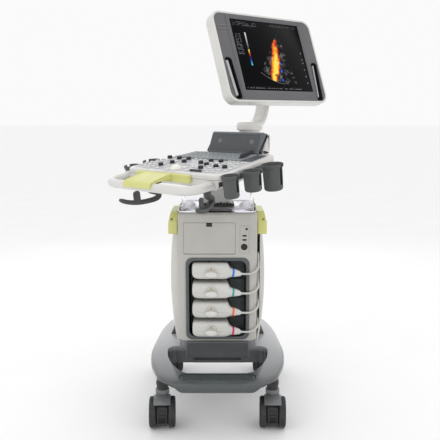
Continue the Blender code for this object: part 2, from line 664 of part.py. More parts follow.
def make_console_shells(console, swivel):
    top = loft("console_top_cover",
               [on_xy(console_outline(0.0010), -TOP_COVER_T), on_xy(console_outline(0.0), -0.0150),
                on_xy(console_outline(0.0), -0.0050), on_xy(console_outline(0.0050), 0.0)],
               "white_plastic", console)
    pocket = rounded_outline([(-0.1985, 0.0275), (0.1525, 0.0275), (0.1425, 0.1455), (-0.1825, 0.1455)],
                             [0.006] * 4)
    cut(top, loft("keyboard_pocket", [on_xy(pocket, -0.0080), on_xy(pocket, 0.0100)], None, console))
    cut(top, drum("ball_hole", TRACKBALL_R + 0.0010, -0.05, 0.05, None, console, TRACKBALL[:2]))

    belly = (0.0, 0.045)
    low = loft("console_lower_shell",
               [on_xy(centred_rect(0.0850, 0.0700, 0.035, belly), -0.0860),
                on_xy(centred_rect(0.1350, 0.1050, 0.040, belly), -0.0560),
                on_xy(console_outline(0.0300), -0.0530), on_xy(console_outline(0.0100), -0.0460),
                on_xy(console_outline(0.0010), -0.0320), on_xy(console_outline(0.0015), -TOP_COVER_T - GAP),
                on_xy(console_outline(0.0055), -TOP_COVER_T - GAP), on_xy(console_outline(0.0050), -0.0310),
                on_xy(console_outline(0.0140), -0.0430), on_xy(console_outline(0.0340), -0.0490),
                on_xy(centred_rect(0.1300, 0.1000, 0.035, belly), -0.0520),
                on_xy(centred_rect(0.0800, 0.0650, 0.030, belly), -0.0800)],
               "white_plastic", console)
    fuse(low, block("rear_bridge", (-0.0450, 0.1500, -0.0500), (0.0450, 0.2700, -0.0187), 0.010, None, console))
    arm_foot = (ARM_AXIS[0], ARM_AXIS[1] - COLUMN_Y)
    fuse(low, drum("neck", 0.0270, 0.9200, 1.0360, None, swivel, arm_foot, 24))
    fuse(low, drum("neck_flange", 0.0425, 1.0345, ARM_BOTTOM - GAP, None, swivel, arm_foot, 24))
    fuse(low, drum("swivel_boss", 0.0500, COLUMN_TOP + GAP, 0.8700, None, swivel, count=24))


def make_console_front(console):
    half, front_y, corner = 0.226, -0.2845, 0.060
    route = [(-half + HANDLE_OFFSET_X, -0.150, -0.036), (-half + HANDLE_OFFSET_X, front_y + corner, -0.036)]
    for k in range(1, 4):
        a = math.radians(90.0 * k / 4)
        route.append((-half + corner * (1 - math.cos(a)) + HANDLE_OFFSET_X,
                      front_y + corner * (1 - math.sin(a)), -0.036))
    route.append((-half + corner + HANDLE_OFFSET_X, front_y, -0.036))
    route.append((half - corner + HANDLE_OFFSET_X, front_y, -0.036))
    for k in range(1, 4):
        a = math.radians(90.0 * k / 4)
        route.append((half - corner * (1 - math.sin(a)) + HANDLE_OFFSET_X,
                      front_y + corner * (1 - math.cos(a)), -0.036))
    route.append((half + HANDLE_OFFSET_X, front_y + corner, -0.036))
    route.append((half + HANDLE_OFFSET_X, -0.160, -0.036))
    path = smooth_path(route, 2)
    handle = loft("front_handle", sweep(path, lambda t: circle(HANDLE_R, count=12)), "white_plastic", console)
    seat = console_outline(-0.0005)
    cut(handle, loft("handle_seat", [on_xy(seat, -0.080), on_xy(seat, 0.020)], None, console))

    stem = [(-0.1885, -0.0050), (-0.2650, -0.0115), (-0.2960, -0.0160), (-0.3050, -0.0250), (-0.3055, -0.0440),
            (-0.3020, -0.0450), (-0.3015, -0.0300), (-0.2960, -0.0190), (-0.2720, -0.0185), (-0.2150, -0.0200),
            (-0.1885, -0.0260)]
    bridge = loft("handle_bridge", [on_yz(stem, -0.1170), on_yz(stem, 0.0230)], "lime_plastic", console)
    cross = rect(-0.2010, -0.1880, -0.0340, -0.0040, 0.003, 2)
    fuse(bridge, loft("bridge_cross", [on_yz(cross, -0.1690), on_yz(cross, 0.1100)], None, console))
    lever = rect(-0.0420, 0.0, -0.0030, 0.0030, 0.0020, 2)
    loft("release_lever", [on_yz(lever, -0.1000), on_yz(lever, -0.0150)], "dark_plastic", console,
         location=(0.0, -0.2150, -0.0330))


def make_console_top(console):
    plate = rounded_outline([(-0.1980, 0.0280), (0.1520, 0.0280), (0.1420, 0.1450), (-0.1820, 0.1450)],
                            [0.006] * 4)
    loft("keyboard", [on_xy(plate, -0.0080 + GAP), on_xy(plate, 0.0045)], "key_plastic", console)
    ball = bmesh.new()
    bmesh.ops.create_uvsphere(ball, u_segments=20, v_segments=12, radius=TRACKBALL_R)
    add_object("trackball", ball, "cream_ball", console, TRACKBALL)
    section = rounded_outline([(0.1480, 0.0006), (0.1880, 0.0006), (0.1892, -0.0100), (0.2150, -0.0100),
                               (0.2280, 0.0640), (0.1930, 0.0800)],
                              [0.003, 0.0005, 0.0005, 0.006, 0.008, 0.006], 3)
    loft("speaker_box", [on_yz(section, -0.1355), on_yz(section, 0.1355)], "bezel_grey", console)


def make_cup(name, console):
    x, y, rim_z, radius, height, slot_angle = CUPS[name]
    wall = 0.0030
    profile = [(radius * 0.70, -height), (radius * 0.84, -height + 0.006), (radius - 0.004, -0.012),
               (radius - 0.0005, -0.010), (radius, 0.0), (radius - 0.0045, 0.0), (radius - 0.0045 - wall, -0.012),
               (radius * 0.84 - wall, -height + 0.009), (radius * 0.70 - wall, -height + wall)]
    cup = loft(name, [on_xy(circle(r), z) for r, z in profile], "dark_plastic", console, location=(x, y, rim_z))
    slot = block(f"{name}_slot", (radius * 0.45, -radius * 0.22, -height + 0.020),
                 (radius * 1.4, radius * 0.22, 0.020), 0.001, None, cup,
                 rotation=(0.0, 0.0, math.radians(slot_angle)))
    cut(cup, slot)
    side = math.copysign(1.0, x)
    wall_x = console_side_x(y) + 0.0012
    reach = abs(x) - wall_x
    low_x, high_x = sorted((-side * reach, -side * (radius - 0.0050 - 0.0015)))
    tab = block(f"{name}_tab", (low_x, -0.012, -0.031 - rim_z), (high_x, 0.012, -0.0195 - rim_z), 0.001, None, cup)
    fuse(cup, tab)


def make_hook(name, side, console):
    """Cable hook: stem, bend to the rear, long arm running forward, and an upright leaf."""
    foot = Vector(HOOK_FEET[name])
    heading = Vector((side * 0.42, -0.907, 0.0)).normalized()
    route = [(0.000, -0.0545), (0.000, -0.0720), (-0.006, -0.0880), (-0.030, -0.0960), (-0.046, -0.1040),
             (-0.046, -0.1160), (-0.028, -0.1245), (0.010, -0.1285), (0.050, -0.1300), (0.088, -0.1265),
             (0.116, -0.1170)]
    path = [foot + heading * s + Vector((0.0, 0.0, z)) for s, z in route]
    path = smooth_path(path, 2)
    across = Vector((-heading.y, heading.x, 0.0))
    rings = []
    for i, point in enumerate(path):
        forward = (path[min(i + 1, len(path) - 1)] - path[max(i - 1, 0)]).normalized()
        normal = across.cross(forward)
        taper = 1.0 - 0.25 * i / (len(path) - 1)
        rings.append([point + across * (a * taper) + normal * (b * taper)
                      for a, b in centred_rect(0.0110, 0.0065, 0.004, steps=1)])
    hook = loft(name, rings, "dark_plastic", console)
    leaf_root = foot + heading * 0.050
    leaf = rounded_outline([(-0.014, -0.127), (0.014, -0.127), (0.004, -0.088), (-0.022, -0.086)],
                           [0.003, 0.003, 0.008, 0.008], 2)
    near = -side * 0.0095
    far = -side * 0.0035
    rings = []
    for offset in sorted((near, far)):
        rings.append([leaf_root + heading * s + across * offset + Vector((0.0, 0.0, z)) for s, z in leaf])
    fuse(hook, loft(f"{name}_leaf", rings, None, console))


# ---------------------------------------------------------------- monitor
def make_arm(swivel):
    foot = Vector((ARM_AXIS[0], ARM_AXIS[1] - COLUMN_Y, 0.0))
    head = Vector((KNUCKLE_AXIS[0], KNUCKLE_AXIS[1] - COLUMN_Y, 0.0))
    span = head - foot
    arm_axis = empty("arm_axis", foot, swivel)
    reach = span.length
    heading = span.normalized()
    across = Vector((heading.y, -heading.x, 0.0))
    route = [(-0.012, 1.0635), (0.020, 1.0645), (0.055, 1.0690), (0.088, 1.0900), (0.111, 1.1280),
             (reach - 0.001, 1.1750), (reach, ARM_TOP)]
    path = smooth_path([heading * s + Vector((0.0, 0.0, z)) for s, z in route], 2)
    rings = []
    for i, point in enumerate(path):
        forward = (path[min(i + 1, len(path) - 1)] - path[max(i - 1, 0)]).normalized()
        if i == len(path) - 1:
            forward = Vector((0.0, 0.0, 1.0))
        normal = forward.cross(across)
        rings.append([point + across * a + normal * b for a, b in centred_rect(0.0290, 0.0150, 0.011, steps=2)])
    arm = loft("monitor_arm", rings, "white_plastic", arm_axis)
    hub = loft("arm_hub", [on_xy(circle(0.0500, count=24), ARM_BOTTOM), on_xy(circle(0.0520, count=24), 1.0480),
                           on_xy(circle(0.0520, count=24), 1.0740), on_xy(circle(0.0490, count=24), 1.0790)],
               None, arm_axis)
    fuse(arm, hub)
    return arm_axis


def make_monitor(swivel, screen_frame):
    knuckle_axis = empty("knuckle_axis", (KNUCKLE_AXIS[0], KNUCKLE_AXIS[1] - COLUMN_Y, 0.0), swivel,
                         (0.0, 0.0, SCREEN_YAW))
    knuckle = drum("monitor_knuckle", 0.0190, ARM_TOP + GAP, 1.2520, "dark_plastic", knuckle_axis, count=24)
    barrel = circle(0.0165, (0.0, TILT_AXIS_Z), 20)
    fuse(knuckle, loft("tilt_barrel", [on_yz(barrel, -0.0240), on_yz(barrel, 0.0240)], None, knuckle_axis))

    centre = HOUSING_CENTRE

    def housing(inset, y, radius):
        return on_xz(centred_rect(HOUSING_HALF_W - inset, HOUSING_HALF_H - inset, radius, centre), y)

    shell = loft("monitor_rear_shell",
                 [housing(0.0350, HOUSING_DEPTH, 0.020), housing(0.0100, HOUSING_DEPTH - 0.010, 0.032),
                  housing(0.0010, 0.0400, 0.036), housing(0.0, 0.0, 0.037), housing(0.0020, -0.0040, 0.036),
                  housing(0.0045, -0.0040, 0.034), housing(0.0050, 0.0400, 0.032),
                  housing(0.0150, HOUSING_DEPTH - 0.014, 0.026)], "white_plastic", screen_frame)
    to_frame = screen_frame.matrix_basis.inverted()
    axis_point = Vector((KNUCKLE_AXIS[0], KNUCKLE_AXIS[1] - COLUMN_Y, TILT_AXIS_Z))
    hinge = to_frame @ axis_point
    for side in (-1, 1):
        x_low, x_high = sorted((side * 0.0245 + hinge.x, side * 0.0390 + hinge.x))
        ear = rounded_outline([(HOUSING_DEPTH - 0.008, hinge.z - 0.024), (hinge.y + 0.016, hinge.z - 0.016),
                               (hinge.y + 0.016, hinge.z + 0.016), (HOUSING_DEPTH - 0.008, hinge.z + 0.024)],
                              [0.001, 0.014, 0.014, 0.001])
        fuse(shell, loft(f"tilt_ear_{side}", [on_yz(ear, x_low), on_yz(ear, x_high)], None, screen_frame))

    def window(grow, y):
        return on_xz(centred_rect(SCREEN_HALF_W + grow, SCREEN_HALF_H + grow, 0.0015), y)

    bezel = loft("monitor_bezel",
                 [housing(0.0055, -0.0030, 0.033), housing(0.0055, 0.0090, 0.033), window(0.0005, 0.0090),
                  window(0.0005, -0.0030)], "bezel_grey", screen_frame, loop=True)
    for label, x_top, x_low in (("left", -0.2370, -0.2250), ("right", 0.2220, 0.2100)):
        grip = rounded_outline([(x_low - 0.0140, -0.1860), (x_low + 0.0140, -0.1860), (x_top + 0.0140, -0.0180),
                                (x_top - 0.0140, -0.0180)], [0.010] * 4, 3)
        cut(bezel, loft(f"bezel_grip_{label}", [on_xz(grip, -0.02), on_xz(grip, 0.03)], None, screen_frame))
    screen = on_xz(centred_rect(SCREEN_HALF_W, SCREEN_HALF_H, 0.0010), 0.0)
    back = on_xz(centred_rect(SCREEN_HALF_W, SCREEN_HALF_H, 0.0010), 0.0120)
    loft("monitor_screen", [screen, back], "screen_glass", screen_frame)


# ---------------------------------------------------------------- assembly
def build():
    clear_scene()
    machine = empty("machine", MACHINE_SHIFT)
    make_base(machine)
    for name in CASTERS:
        make_caster(name, machine)
    make_tower_covers(machine)
    make_side_handles(machine)
    make_tower_front(machine)
    for index in range(1, CONNECTOR_COUNT + 1):
        make_connector(index, machine)
        make_cable(index, machine)
    make_inside(machine)
    make_tray(machine)

    lift = make_lift(machine)
    console_place = Vector(CONSOLE_CENTRE) - Vector((0.0, COLUMN_Y, 0.0))
    turn = Matrix.Rotation(CONSOLE_YAW, 3, "Z") @ Matrix.Rotation(CONSOLE_TILT, 3, "X")
    console = empty("console_frame", console_place, lift, turn.to_euler())
    make_console_shells(console, lift)
    make_console_front(console)
    make_console_top(console)
    for name in CUPS:
        make_cup(name, console)
    make_hook("cable_hook_left", -1, console)
    make_hook("cable_hook_right", 1, console)

    make_arm(lift)
    screen_place = Vector(SCREEN_CENTRE) - Vector((0.0, COLUMN_Y, 0.0))
    lean = Matrix.Rotation(SCREEN_YAW, 3, "Z") @ Matrix.Rotation(SCREEN_TILT, 3, "X")
    screen_frame = empty("screen_frame", screen_place, lift, lean.to_euler())
    bpy.context.view_layer.update()
    make_monitor(lift, screen_frame)


build()
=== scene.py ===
"""Looks of a trolley ultrasound machine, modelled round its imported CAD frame.

Lengths are metres.  Shapes are written in the frame of the group they belong to (machine,
console, screen, ...), and each piece's object carries that frame as its matrix.
"""

import math

import bmesh
import bpy
from mathutils import Matrix, Vector, noise


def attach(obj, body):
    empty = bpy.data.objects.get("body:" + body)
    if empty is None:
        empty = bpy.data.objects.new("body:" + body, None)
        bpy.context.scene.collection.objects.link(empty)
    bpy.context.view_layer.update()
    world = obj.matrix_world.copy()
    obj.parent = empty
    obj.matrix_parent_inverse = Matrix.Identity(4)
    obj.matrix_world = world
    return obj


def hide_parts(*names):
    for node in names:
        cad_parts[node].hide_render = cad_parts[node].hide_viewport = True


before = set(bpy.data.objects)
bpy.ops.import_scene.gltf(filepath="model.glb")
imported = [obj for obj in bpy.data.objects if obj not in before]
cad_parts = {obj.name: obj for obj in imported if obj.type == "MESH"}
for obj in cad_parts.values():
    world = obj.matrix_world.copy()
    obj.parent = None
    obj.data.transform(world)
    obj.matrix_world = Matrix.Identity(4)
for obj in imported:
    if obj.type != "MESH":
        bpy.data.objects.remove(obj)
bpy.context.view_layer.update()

# ---------------------------------------------------------------- frames of the groups
SHIFT = Vector((-0.0235, -0.066, 0.0))
MACHINE = Matrix.Translation(SHIFT)
CONSOLE = (Matrix.Translation(SHIFT + Vector((-0.045, 0.009, 0.936)))
           @ Matrix.Rotation(math.radians(-42.9), 4, "Z") @ Matrix.Rotation(math.radians(8.2), 4, "X"))
ARM_AXIS = Vector((0.1272, 0.1943, 0.0))
KNUCKLE_AXIS = Vector((0.189, 0.300, 0.0))
TILT_AXIS_Z = 1.262
ARM = Matrix.Translation(SHIFT + ARM_AXIS)
KNUCKLE = Matrix.Translation(SHIFT + KNUCKLE_AXIS) @ Matrix.Rotation(math.radians(38.0), 4, "Z")
SCREEN = (Matrix.Translation(SHIFT + Vector((0.221, 0.254, 1.339)))
          @ Matrix.Rotation(math.radians(38.0), 4, "Z") @ Matrix.Rotation(math.radians(-20.8), 4, "X"))
COLUMN_Y = 0.055
SCREEN_HALF = (0.1830, 0.1464)
TRACKBALL = (-0.020, -0.135)
PLUG_Y = -0.141
WHEEL_R = 0.0550
TRAIL = 0.026
CASTERS = {"front_left": (-0.199, -0.2105, -1, 3.0), "front_right": (0.199, -0.2105, -1, -3.0),
           "rear_left": (-0.199, 0.235, 1, 12.0), "rear_right": (0.199, 0.235, 1, -10.0)}
CONNECTOR_ZS = [0.5495, 0.4765, 0.4035, 0.3305]


# ---------------------------------------------------------------- outlines
def rounded_outline(corners, blends, steps=8):
    """Closed 2-D outline through corner points, each corner rounded over its blend length."""
    points = []
    count = len(corners)
    for i, corner in enumerate(corners):
        here = Vector(corner)
        before = (Vector(corners[i - 1]) - here).normalized()
        after = (Vector(corners[(i + 1) % count]) - here).normalized()
        start, end = here + before * blends[i], here + after * blends[i]
        start_handle, end_handle = start.lerp(here, 0.5523), end.lerp(here, 0.5523)
        for k in range(steps + 1):
            t = k / steps
            s = 1.0 - t
            p = start * s**3 + start_handle * 3 * s * s * t + end_handle * 3 * s * t * t + end * t**3
            points.append((p.x, p.y))
    return points


def rect(low_a, high_a, low_b, high_b, radius, steps=8):
    corners = [(low_a, low_b), (high_a, low_b), (high_a, high_b), (low_a, high_b)]
    return rounded_outline(corners, [radius] * 4, steps)


def centred_rect(half_a, half_b, radius, centre=(0.0, 0.0), steps=8):
    return rect(centre[0] - half_a, centre[0] + half_a, centre[1] - half_b, centre[1] + half_b, radius, steps)


def circle(radius, centre=(0.0, 0.0), count=48):
    step = 2.0 * math.pi / count
    return [(centre[0] + radius * math.cos((i + 0.5) * step),
             centre[1] + radius * math.sin((i + 0.5) * step)) for i in range(count)]


def grown(outline, distance):
    """The outline moved outwards along its own normals."""
    count = len(outline)
    result = []
    for i in range(count):
        ahead = Vector(outline[(i + 1) % count]) - Vector(outline[i - 1])
        if ahead.length < 1e-9:
            ahead = Vector(outline[(i + 2) % count]) - Vector(outline[i - 2])
        normal = Vector((ahead.y, -ahead.x)).normalized()
        result.append((outline[i][0] + normal.x * distance, outline[i][1] + normal.y * distance))
    return result


def on_xy(outline, z):
    return [Vector((a, b, z)) for a, b in outline]


def on_xz(outline, y):
    return [Vector((a, y, b)) for a, b in outline]


def on_yz(outline, x):
    return [Vector((x, a, b)) for a, b in outline]


def ease(value, low, high):
    t = min(max((value - low) / (high - low), 0.0), 1.0)
    return t * t * (3.0 - 2.0 * t)


# ---------------------------------------------------------------- solids
def skin(rings, loop=False, bm=None, index=0):
    """Faces over successive rings of equal length, with flat ends unless looped."""
    bm = bm or bmesh.new()
    rows = [[bm.verts.new(point) for point in ring] for ring in rings]
    count = len(rows[0])
    pairs = list(zip(rows, rows[1:]))
    if loop:
        pairs.append((rows[-1], rows[0]))
    faces = []
    for low, high in pairs:
        for i in range(count):
            j = (i + 1) % count
            faces.append(bm.faces.new((low[i], low[j], high[j], high[i])))
    if not loop:
        faces.append(bm.faces.new(list(reversed(rows[0]))))
        faces.append(bm.faces.new(rows[-1]))
    for face in faces:
        face.material_index = index
    return bm


def prism(place, outline, low, high):
    """Straight prism of an outline, placed by on_xy, on_xz or on_yz at two levels."""
    return skin([place(outline, low), place(outline, high)])


def slab(low, high, radius=0.002, bm=None, index=0, soft=0.0, steps=4):
    """Upright box with rounded corners and, with soft, rounded top and bottom edges."""
    def ring(inset, z):
        return on_xy(rect(low[0] + inset, high[0] - inset, low[1] + inset, high[1] - inset, radius, steps), z)
    if not soft:
        return skin([ring(0.0, low[2]), ring(0.0, high[2])], bm=bm, index=index)
    turns = [math.radians(a) for a in (0, 30, 60, 90)]
    rings = [ring(soft * (1 - math.sin(a)), low[2] + soft * (1 - math.cos(a))) for a in turns]
    rings += [ring(soft * (1 - math.cos(a)), high[2] - soft * (1 - math.sin(a))) for a in turns]
    return skin(rings, bm=bm, index=index)


def lathe(profile, axis="z", centre=(0.0, 0.0, 0.0), count=48, bm=None, index=0, loop=False):
    """Turned piece: profile holds (position along the axis, radius)."""
    place = {"x": on_yz, "y": on_xz, "z": on_xy}[axis]
    rings = [[p + Vector(centre) for p in place(circle(max(r, 1e-5), count=count), a)] for a, r in profile]
    return skin(rings, loop=loop, bm=bm, index=index)


def sweep(path, section_at):
    """Rings of a section carried along a path; section_at(t) gives (across, up) points."""
    rings = []
    side = None
    for i, point in enumerate(path):
        forward = (path[min(i + 1, len(path) - 1)] - path[max(i - 1, 0)]).normalized()
        if side is None:
            side = forward.cross(Vector((0.0, 0.0, 1.0)))
            if side.length < 0.1:
                side = Vector((1.0, 0.0, 0.0))
        side = (side - forward * side.dot(forward)).normalized()
        up = side.cross(forward).normalized()
        rings.append([point + side * a + up * b for a, b in section_at(i / (len(path) - 1))])
    return rings


def smooth_path(points, per_span):
    """Catmull-Rom curve through the given points."""
    route = [Vector(p) for p in points]
    ends = [route[0] * 2 - route[1]] + route + [route[-1] * 2 - route[-2]]
    path = []
    for i in range(len(route) - 1):
        a, b, c, d = ends[i:i + 4]
        for k in range(per_span):
            t = k / per_span
            path.append(0.5 * (b * 2 + (c - a) * t + (a * 2 - b * 5 + c * 4 - d) * t**2
                               + (b * 3 - a - c * 3 + d) * t**3))
    path.append(route[-1])
    return path


def merge(bm, other):
    """Adds one mesh to another and frees it."""
    mesh = bpy.data.meshes.new("merged")
    other.to_mesh(mesh)
    other.free()
    bm.from_mesh(mesh)
    bpy.data.meshes.remove(mesh)


def carve(bm, *tools):
    """The solid after cutting ("DIFFERENCE") or joining ("UNION") other solids."""
    made = []
    for solid in (bm, *[tool for _, tool in tools]):
        bmesh.ops.recalc_face_normals(solid, faces=solid.faces)
        bmesh.ops.triangulate(solid, faces=[f for f in solid.faces if len(f.verts) > 4])
        mesh = bpy.data.meshes.new("carving")
        solid.to_mesh(mesh)
        solid.free()
        obj = bpy.data.objects.new("carving", mesh)
        bpy.context.scene.collection.objects.link(obj)
        made.append(obj)
    for (operation, _), tool in zip(tools, made[1:]):
        modifier = made[0].modifiers.new("carve", "BOOLEAN")
        modifier.operation = operation
        modifier.solver = "EXACT"
        modifier.object = tool
    evaluated = made[0].evaluated_get(bpy.context.evaluated_depsgraph_get())
    result = bmesh.new()
    result.from_mesh(evaluated.data)
    for obj in made:
        mesh = obj.data
        bpy.data.objects.remove(obj)
        bpy.data.meshes.remove(mesh)
    return result


def piece(name, bm, materials, body, at=MACHINE, cad=(), smooth=38.0, bevel=0.0, segments=3):
    """Link a solid as a named piece that rides on a CAD body."""
    bmesh.ops.recalc_face_normals(bm, faces=bm.faces)
    mesh = bpy.data.meshes.new(name)
    bm.to_mesh(mesh)
    bm.free()
    for mat in materials if isinstance(materials, (list, tuple)) else [materials]:
        mesh.materials.append(mat)
    mesh.shade_smooth()
    mesh.set_sharp_from_angle(angle=math.radians(smooth))
    obj = bpy.data.objects.new(name, mesh)
    bpy.context.scene.collection.objects.link(obj)
    obj.matrix_world = at
    if bevel:
        modifier = obj.modifiers.new("edges", "BEVEL")
        modifier.width = bevel
        modifier.segments = segments
        modifier.limit_method = "ANGLE"
        modifier.angle_limit = math.radians(40.0)
        modifier.harden_normals = True
    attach(obj, body)
    if cad:
        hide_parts(*cad)
    return obj


# ---------------------------------------------------------------- materials
class Graph:
    """Short names for building one material's nodes."""

    def __init__(self, name):
        self.mat = bpy.data.materials.new(name)
        self.mat.use_nodes = True
        self.nodes = self.mat.node_tree.nodes
        self.links = self.mat.node_tree.links
        self.shader = self.nodes["Principled BSDF"]
        self.coords = self.nodes.new("ShaderNodeTexCoord").outputs["Object"]

    def put(self, value, socket):
        if isinstance(value, bpy.types.NodeSocket):
            self.links.new(value, socket)
        else:
            socket.default_value = value

    def math(self, operation, a, b=0.0, clamp=False):
        node = self.nodes.new("ShaderNodeMath")
        node.operation = operation
        node.use_clamp = clamp
        self.put(a, node.inputs[0])
        self.put(b, node.inputs[1])
        return node.outputs[0]

    def axis(self, name, vector=None):
        node = self.nodes.new("ShaderNodeSeparateXYZ")
        self.links.new(vector or self.coords, node.inputs[0])
        return node.outputs[name]

    def noise(self, scale, detail=3.0, stretch=None):
        node = self.nodes.new("ShaderNodeTexNoise")
        node.inputs["Scale"].default_value = scale
        node.inputs["Detail"].default_value = detail
        source = self.coords
        if stretch:
            mapping = self.nodes.new("ShaderNodeMapping")
            mapping.inputs["Scale"].default_value = stretch
            self.links.new(self.coords, mapping.inputs["Vector"])
            source = mapping.outputs["Vector"]
        self.links.new(source, node.inputs["Vector"])
        return node.outputs["Fac"]

    def spread(self, value, low, high, to_low=0.0, to_high=1.0):
        node = self.nodes.new("ShaderNodeMapRange")
        self.put(value, node.inputs["Value"])
        for label, number in (("From Min", low), ("From Max", high), ("To Min", to_low), ("To Max", to_high)):
            node.inputs[label].default_value = number
        return node.outputs["Result"]

    def mix(self, factor, a, b):
        node = self.nodes.new("ShaderNodeMix")
        node.data_type = "RGBA"
        self.put(factor, node.inputs["Factor"])
        self.put(a, node.inputs["A"])
        self.put(b, node.inputs["B"])
        return node.outputs["Result"]

    def bump(self, height, strength, distance):
        node = self.nodes.new("ShaderNodeBump")
        node.inputs["Strength"].default_value = strength
        node.inputs["Distance"].default_value = distance
        self.links.new(height, node.inputs["Height"])
        return node.outputs["Normal"]


def rgb(*values):
    return (*values, 1.0)


def surface(name, colour, roughness, grain=0.25, grain_scale=1600.0, mottle=0.05, coat=0.0, metallic=0.0,
            dust=0.0, specular=0.5, ridges=None):
    """Moulded or painted finish: fine grain, uneven gloss, faint colour drift, dust near the floor."""
    g = Graph(name)
    dark = rgb(*[c * (1.0 - mottle) for c in colour])
    light = rgb(*[min(1.0, c * (1.0 + mottle)) for c in colour])
    tone = g.mix(g.spread(g.noise(7.0, 5.0), 0.3, 0.7), dark, light)
    if dust:
        settled = g.math("MULTIPLY", g.spread(g.axis("Z"), 0.26, 0.0),
                         g.spread(g.noise(40.0, 6.0), 0.35, 0.75))
        tone = g.mix(g.math("MULTIPLY", settled, dust), tone, rgb(0.42, 0.40, 0.37))
    g.put(tone, g.shader.inputs["Base Color"])
    wear = g.noise(24.0, 6.0)
    g.put(g.spread(wear, 0.3, 0.7, roughness * 0.85, min(1.0, roughness * 1.2)), g.shader.inputs["Roughness"])
    height = g.noise(grain_scale, 2.0)
    if ridges:
        wave = g.math("SINE", g.math("MULTIPLY", g.axis(ridges[0]), ridges[1]))
        height = g.math("ADD", height, g.math("MULTIPLY", wave, ridges[2]))
    g.put(g.bump(height, grain, 0.0003), g.shader.inputs["Normal"])
    g.shader.inputs["Metallic"].default_value = metallic
    g.shader.inputs["Specular IOR Level"].default_value = specular
    g.shader.inputs["Coat Weight"].default_value = coat
    g.shader.inputs["Coat Roughness"].default_value = 0.12
    return g.mat


def base_paint_with_painted_light():
    """Satin metallic paint of the casting with painted light: painted shade makes it dark round its skirt, and
    a painted reflection makes it paler on the tops towards the rear.
    """
    g = Graph("base_paint_with_painted_light")
    y, z = g.axis("Y"), g.axis("Z")
    # Painted light: the mix runs from painted shade on the skirt below the top surface to a painted reflection
    # on the tops, stronger towards the rear.
    below_top = g.math("SUBTRACT", g.math("SUBTRACT", z, g.math("MULTIPLY", y, 0.100)), 0.2268)
    factor = g.math("MULTIPLY", g.spread(y, -0.280, 0.080, 0.06, 1.0),
                    g.spread(below_top, -0.022, 0.0, 0.0, 1.0))
    colour = g.mix(factor, rgb(0.045, 0.053, 0.056), rgb(0.46, 0.465, 0.48))
    speck = g.spread(g.noise(900.0, 2.0), 0.35, 0.65, 0.97, 1.03)
    colour = g.mix(g.spread(g.noise(14.0, 4.0), 0.35, 0.65, 0.0, 0.06), colour, rgb(0.16, 0.165, 0.165))
    g.put(colour, g.shader.inputs["Base Color"])
    g.put(g.math("MULTIPLY", speck, g.spread(g.noise(35.0, 4.0), 0.3, 0.7, 0.27, 0.36)),
          g.shader.inputs["Roughness"])
    g.put(g.bump(g.noise(1500.0, 2.0), 0.05, 0.0002), g.shader.inputs["Normal"])
    g.shader.inputs["Coat Weight"].default_value = 0.5
    g.shader.inputs["Coat Roughness"].default_value = 0.15
    return g.mat


WHITE = surface("warm_white_plastic", (0.655, 0.645, 0.62), 0.32, coat=0.3)
BEIGE = surface("beige_plastic", (0.455, 0.44, 0.41), 0.40, coat=0.15)
PANEL = surface("silver_panel", (0.485, 0.485, 0.495), 0.42)
BUTTON = surface("button_grey", (0.68, 0.68, 0.68), 0.38)
# Mid grey for real seams and grooves, also used as painted shadow round the foot of each panel button.
SEAM_GREY_AND_PAINTED_SHADOW = surface("seam_grey_and_painted_shadow", (0.29, 0.295, 0.31), 0.5)
PLUG = surface("plug_plastic", (0.60, 0.595, 0.57), 0.38, coat=0.15)
IVORY = surface("ivory_plastic", (0.54, 0.51, 0.45), 0.45)
BASE_PAINT_WITH_PAINTED_LIGHT = base_paint_with_painted_light()
INLAY = surface("base_inlay", (0.062, 0.074, 0.078), 0.34, grain=0.10, mottle=0.03, coat=0.3, dust=0.1)
TREAD = surface("tread_rubber", (0.052, 0.064, 0.067), 0.62, grain=0.5, dust=0.2)
DARK = surface("dark_plastic", (0.075, 0.080, 0.083), 0.48)
CUP_GREY = surface("cup_plastic", (0.072, 0.075, 0.076), 0.52, grain=0.4)
BLACK = surface("black_plastic", (0.014, 0.014, 0.016), 0.40)
KNOB = surface("knob_plastic", (0.016, 0.013, 0.022), 0.38)
BAY = surface("bay_plastic", (0.028, 0.032, 0.034), 0.50)
BAY_RIM = surface("bay_rim", (0.085, 0.095, 0.10), 0.40)
TYRE = surface("tyre_rubber", (0.012, 0.011, 0.014), 0.60, grain=0.5, dust=0.10)
HUB = surface("wheel_hub", (0.020, 0.019, 0.023), 0.45, dust=0.10)
HOOD = surface("caster_hood", (0.155, 0.165, 0.17), 0.38, coat=0.2, dust=0.1)
LIME = surface("lime_plastic", (0.66, 0.655, 0.235), 0.40, coat=0.1)
KEYS = surface("key_plastic", (0.265, 0.290, 0.300), 0.45)
KEY_DECK = surface("key_deck", (0.050, 0.058, 0.062), 0.50)
BEZEL = surface("bezel_plastic", (0.112, 0.110, 0.118), 0.45)
SPEAKER = surface("speaker_plastic", (0.115, 0.128, 0.145), 0.42)
JACKET = surface("cable_jacket", (0.56, 0.55, 0.52), 0.50, grain=0.4)
STEEL = surface("plated_steel", (0.10, 0.10, 0.105), 0.45, metallic=0.4)
ALLOY = surface("card_cage_alloy", (0.35, 0.35, 0.36), 0.35, metallic=1.0, ridges=("X", 700.0, 0.6))
COLUMN = surface("column_paint", (0.66, 0.655, 0.635), 0.36, coat=0.2)
BALL = surface("cream_ball", (0.84, 0.82, 0.75), 0.12, grain=0.0, coat=0.6)
GRIP_BAR = surface("grip_bar", (0.42, 0.42, 0.43), 0.28, coat=0.5)
RINGS = [surface(f"ring_{name}", colour, 0.35) for name, colour in
         (("blue", (0.015, 0.17, 0.62)), ("teal", (0.02, 0.32, 0.30)), ("orange", (0.78, 0.14, 0.02)),
          ("magenta", (0.55, 0.012, 0.11)))]


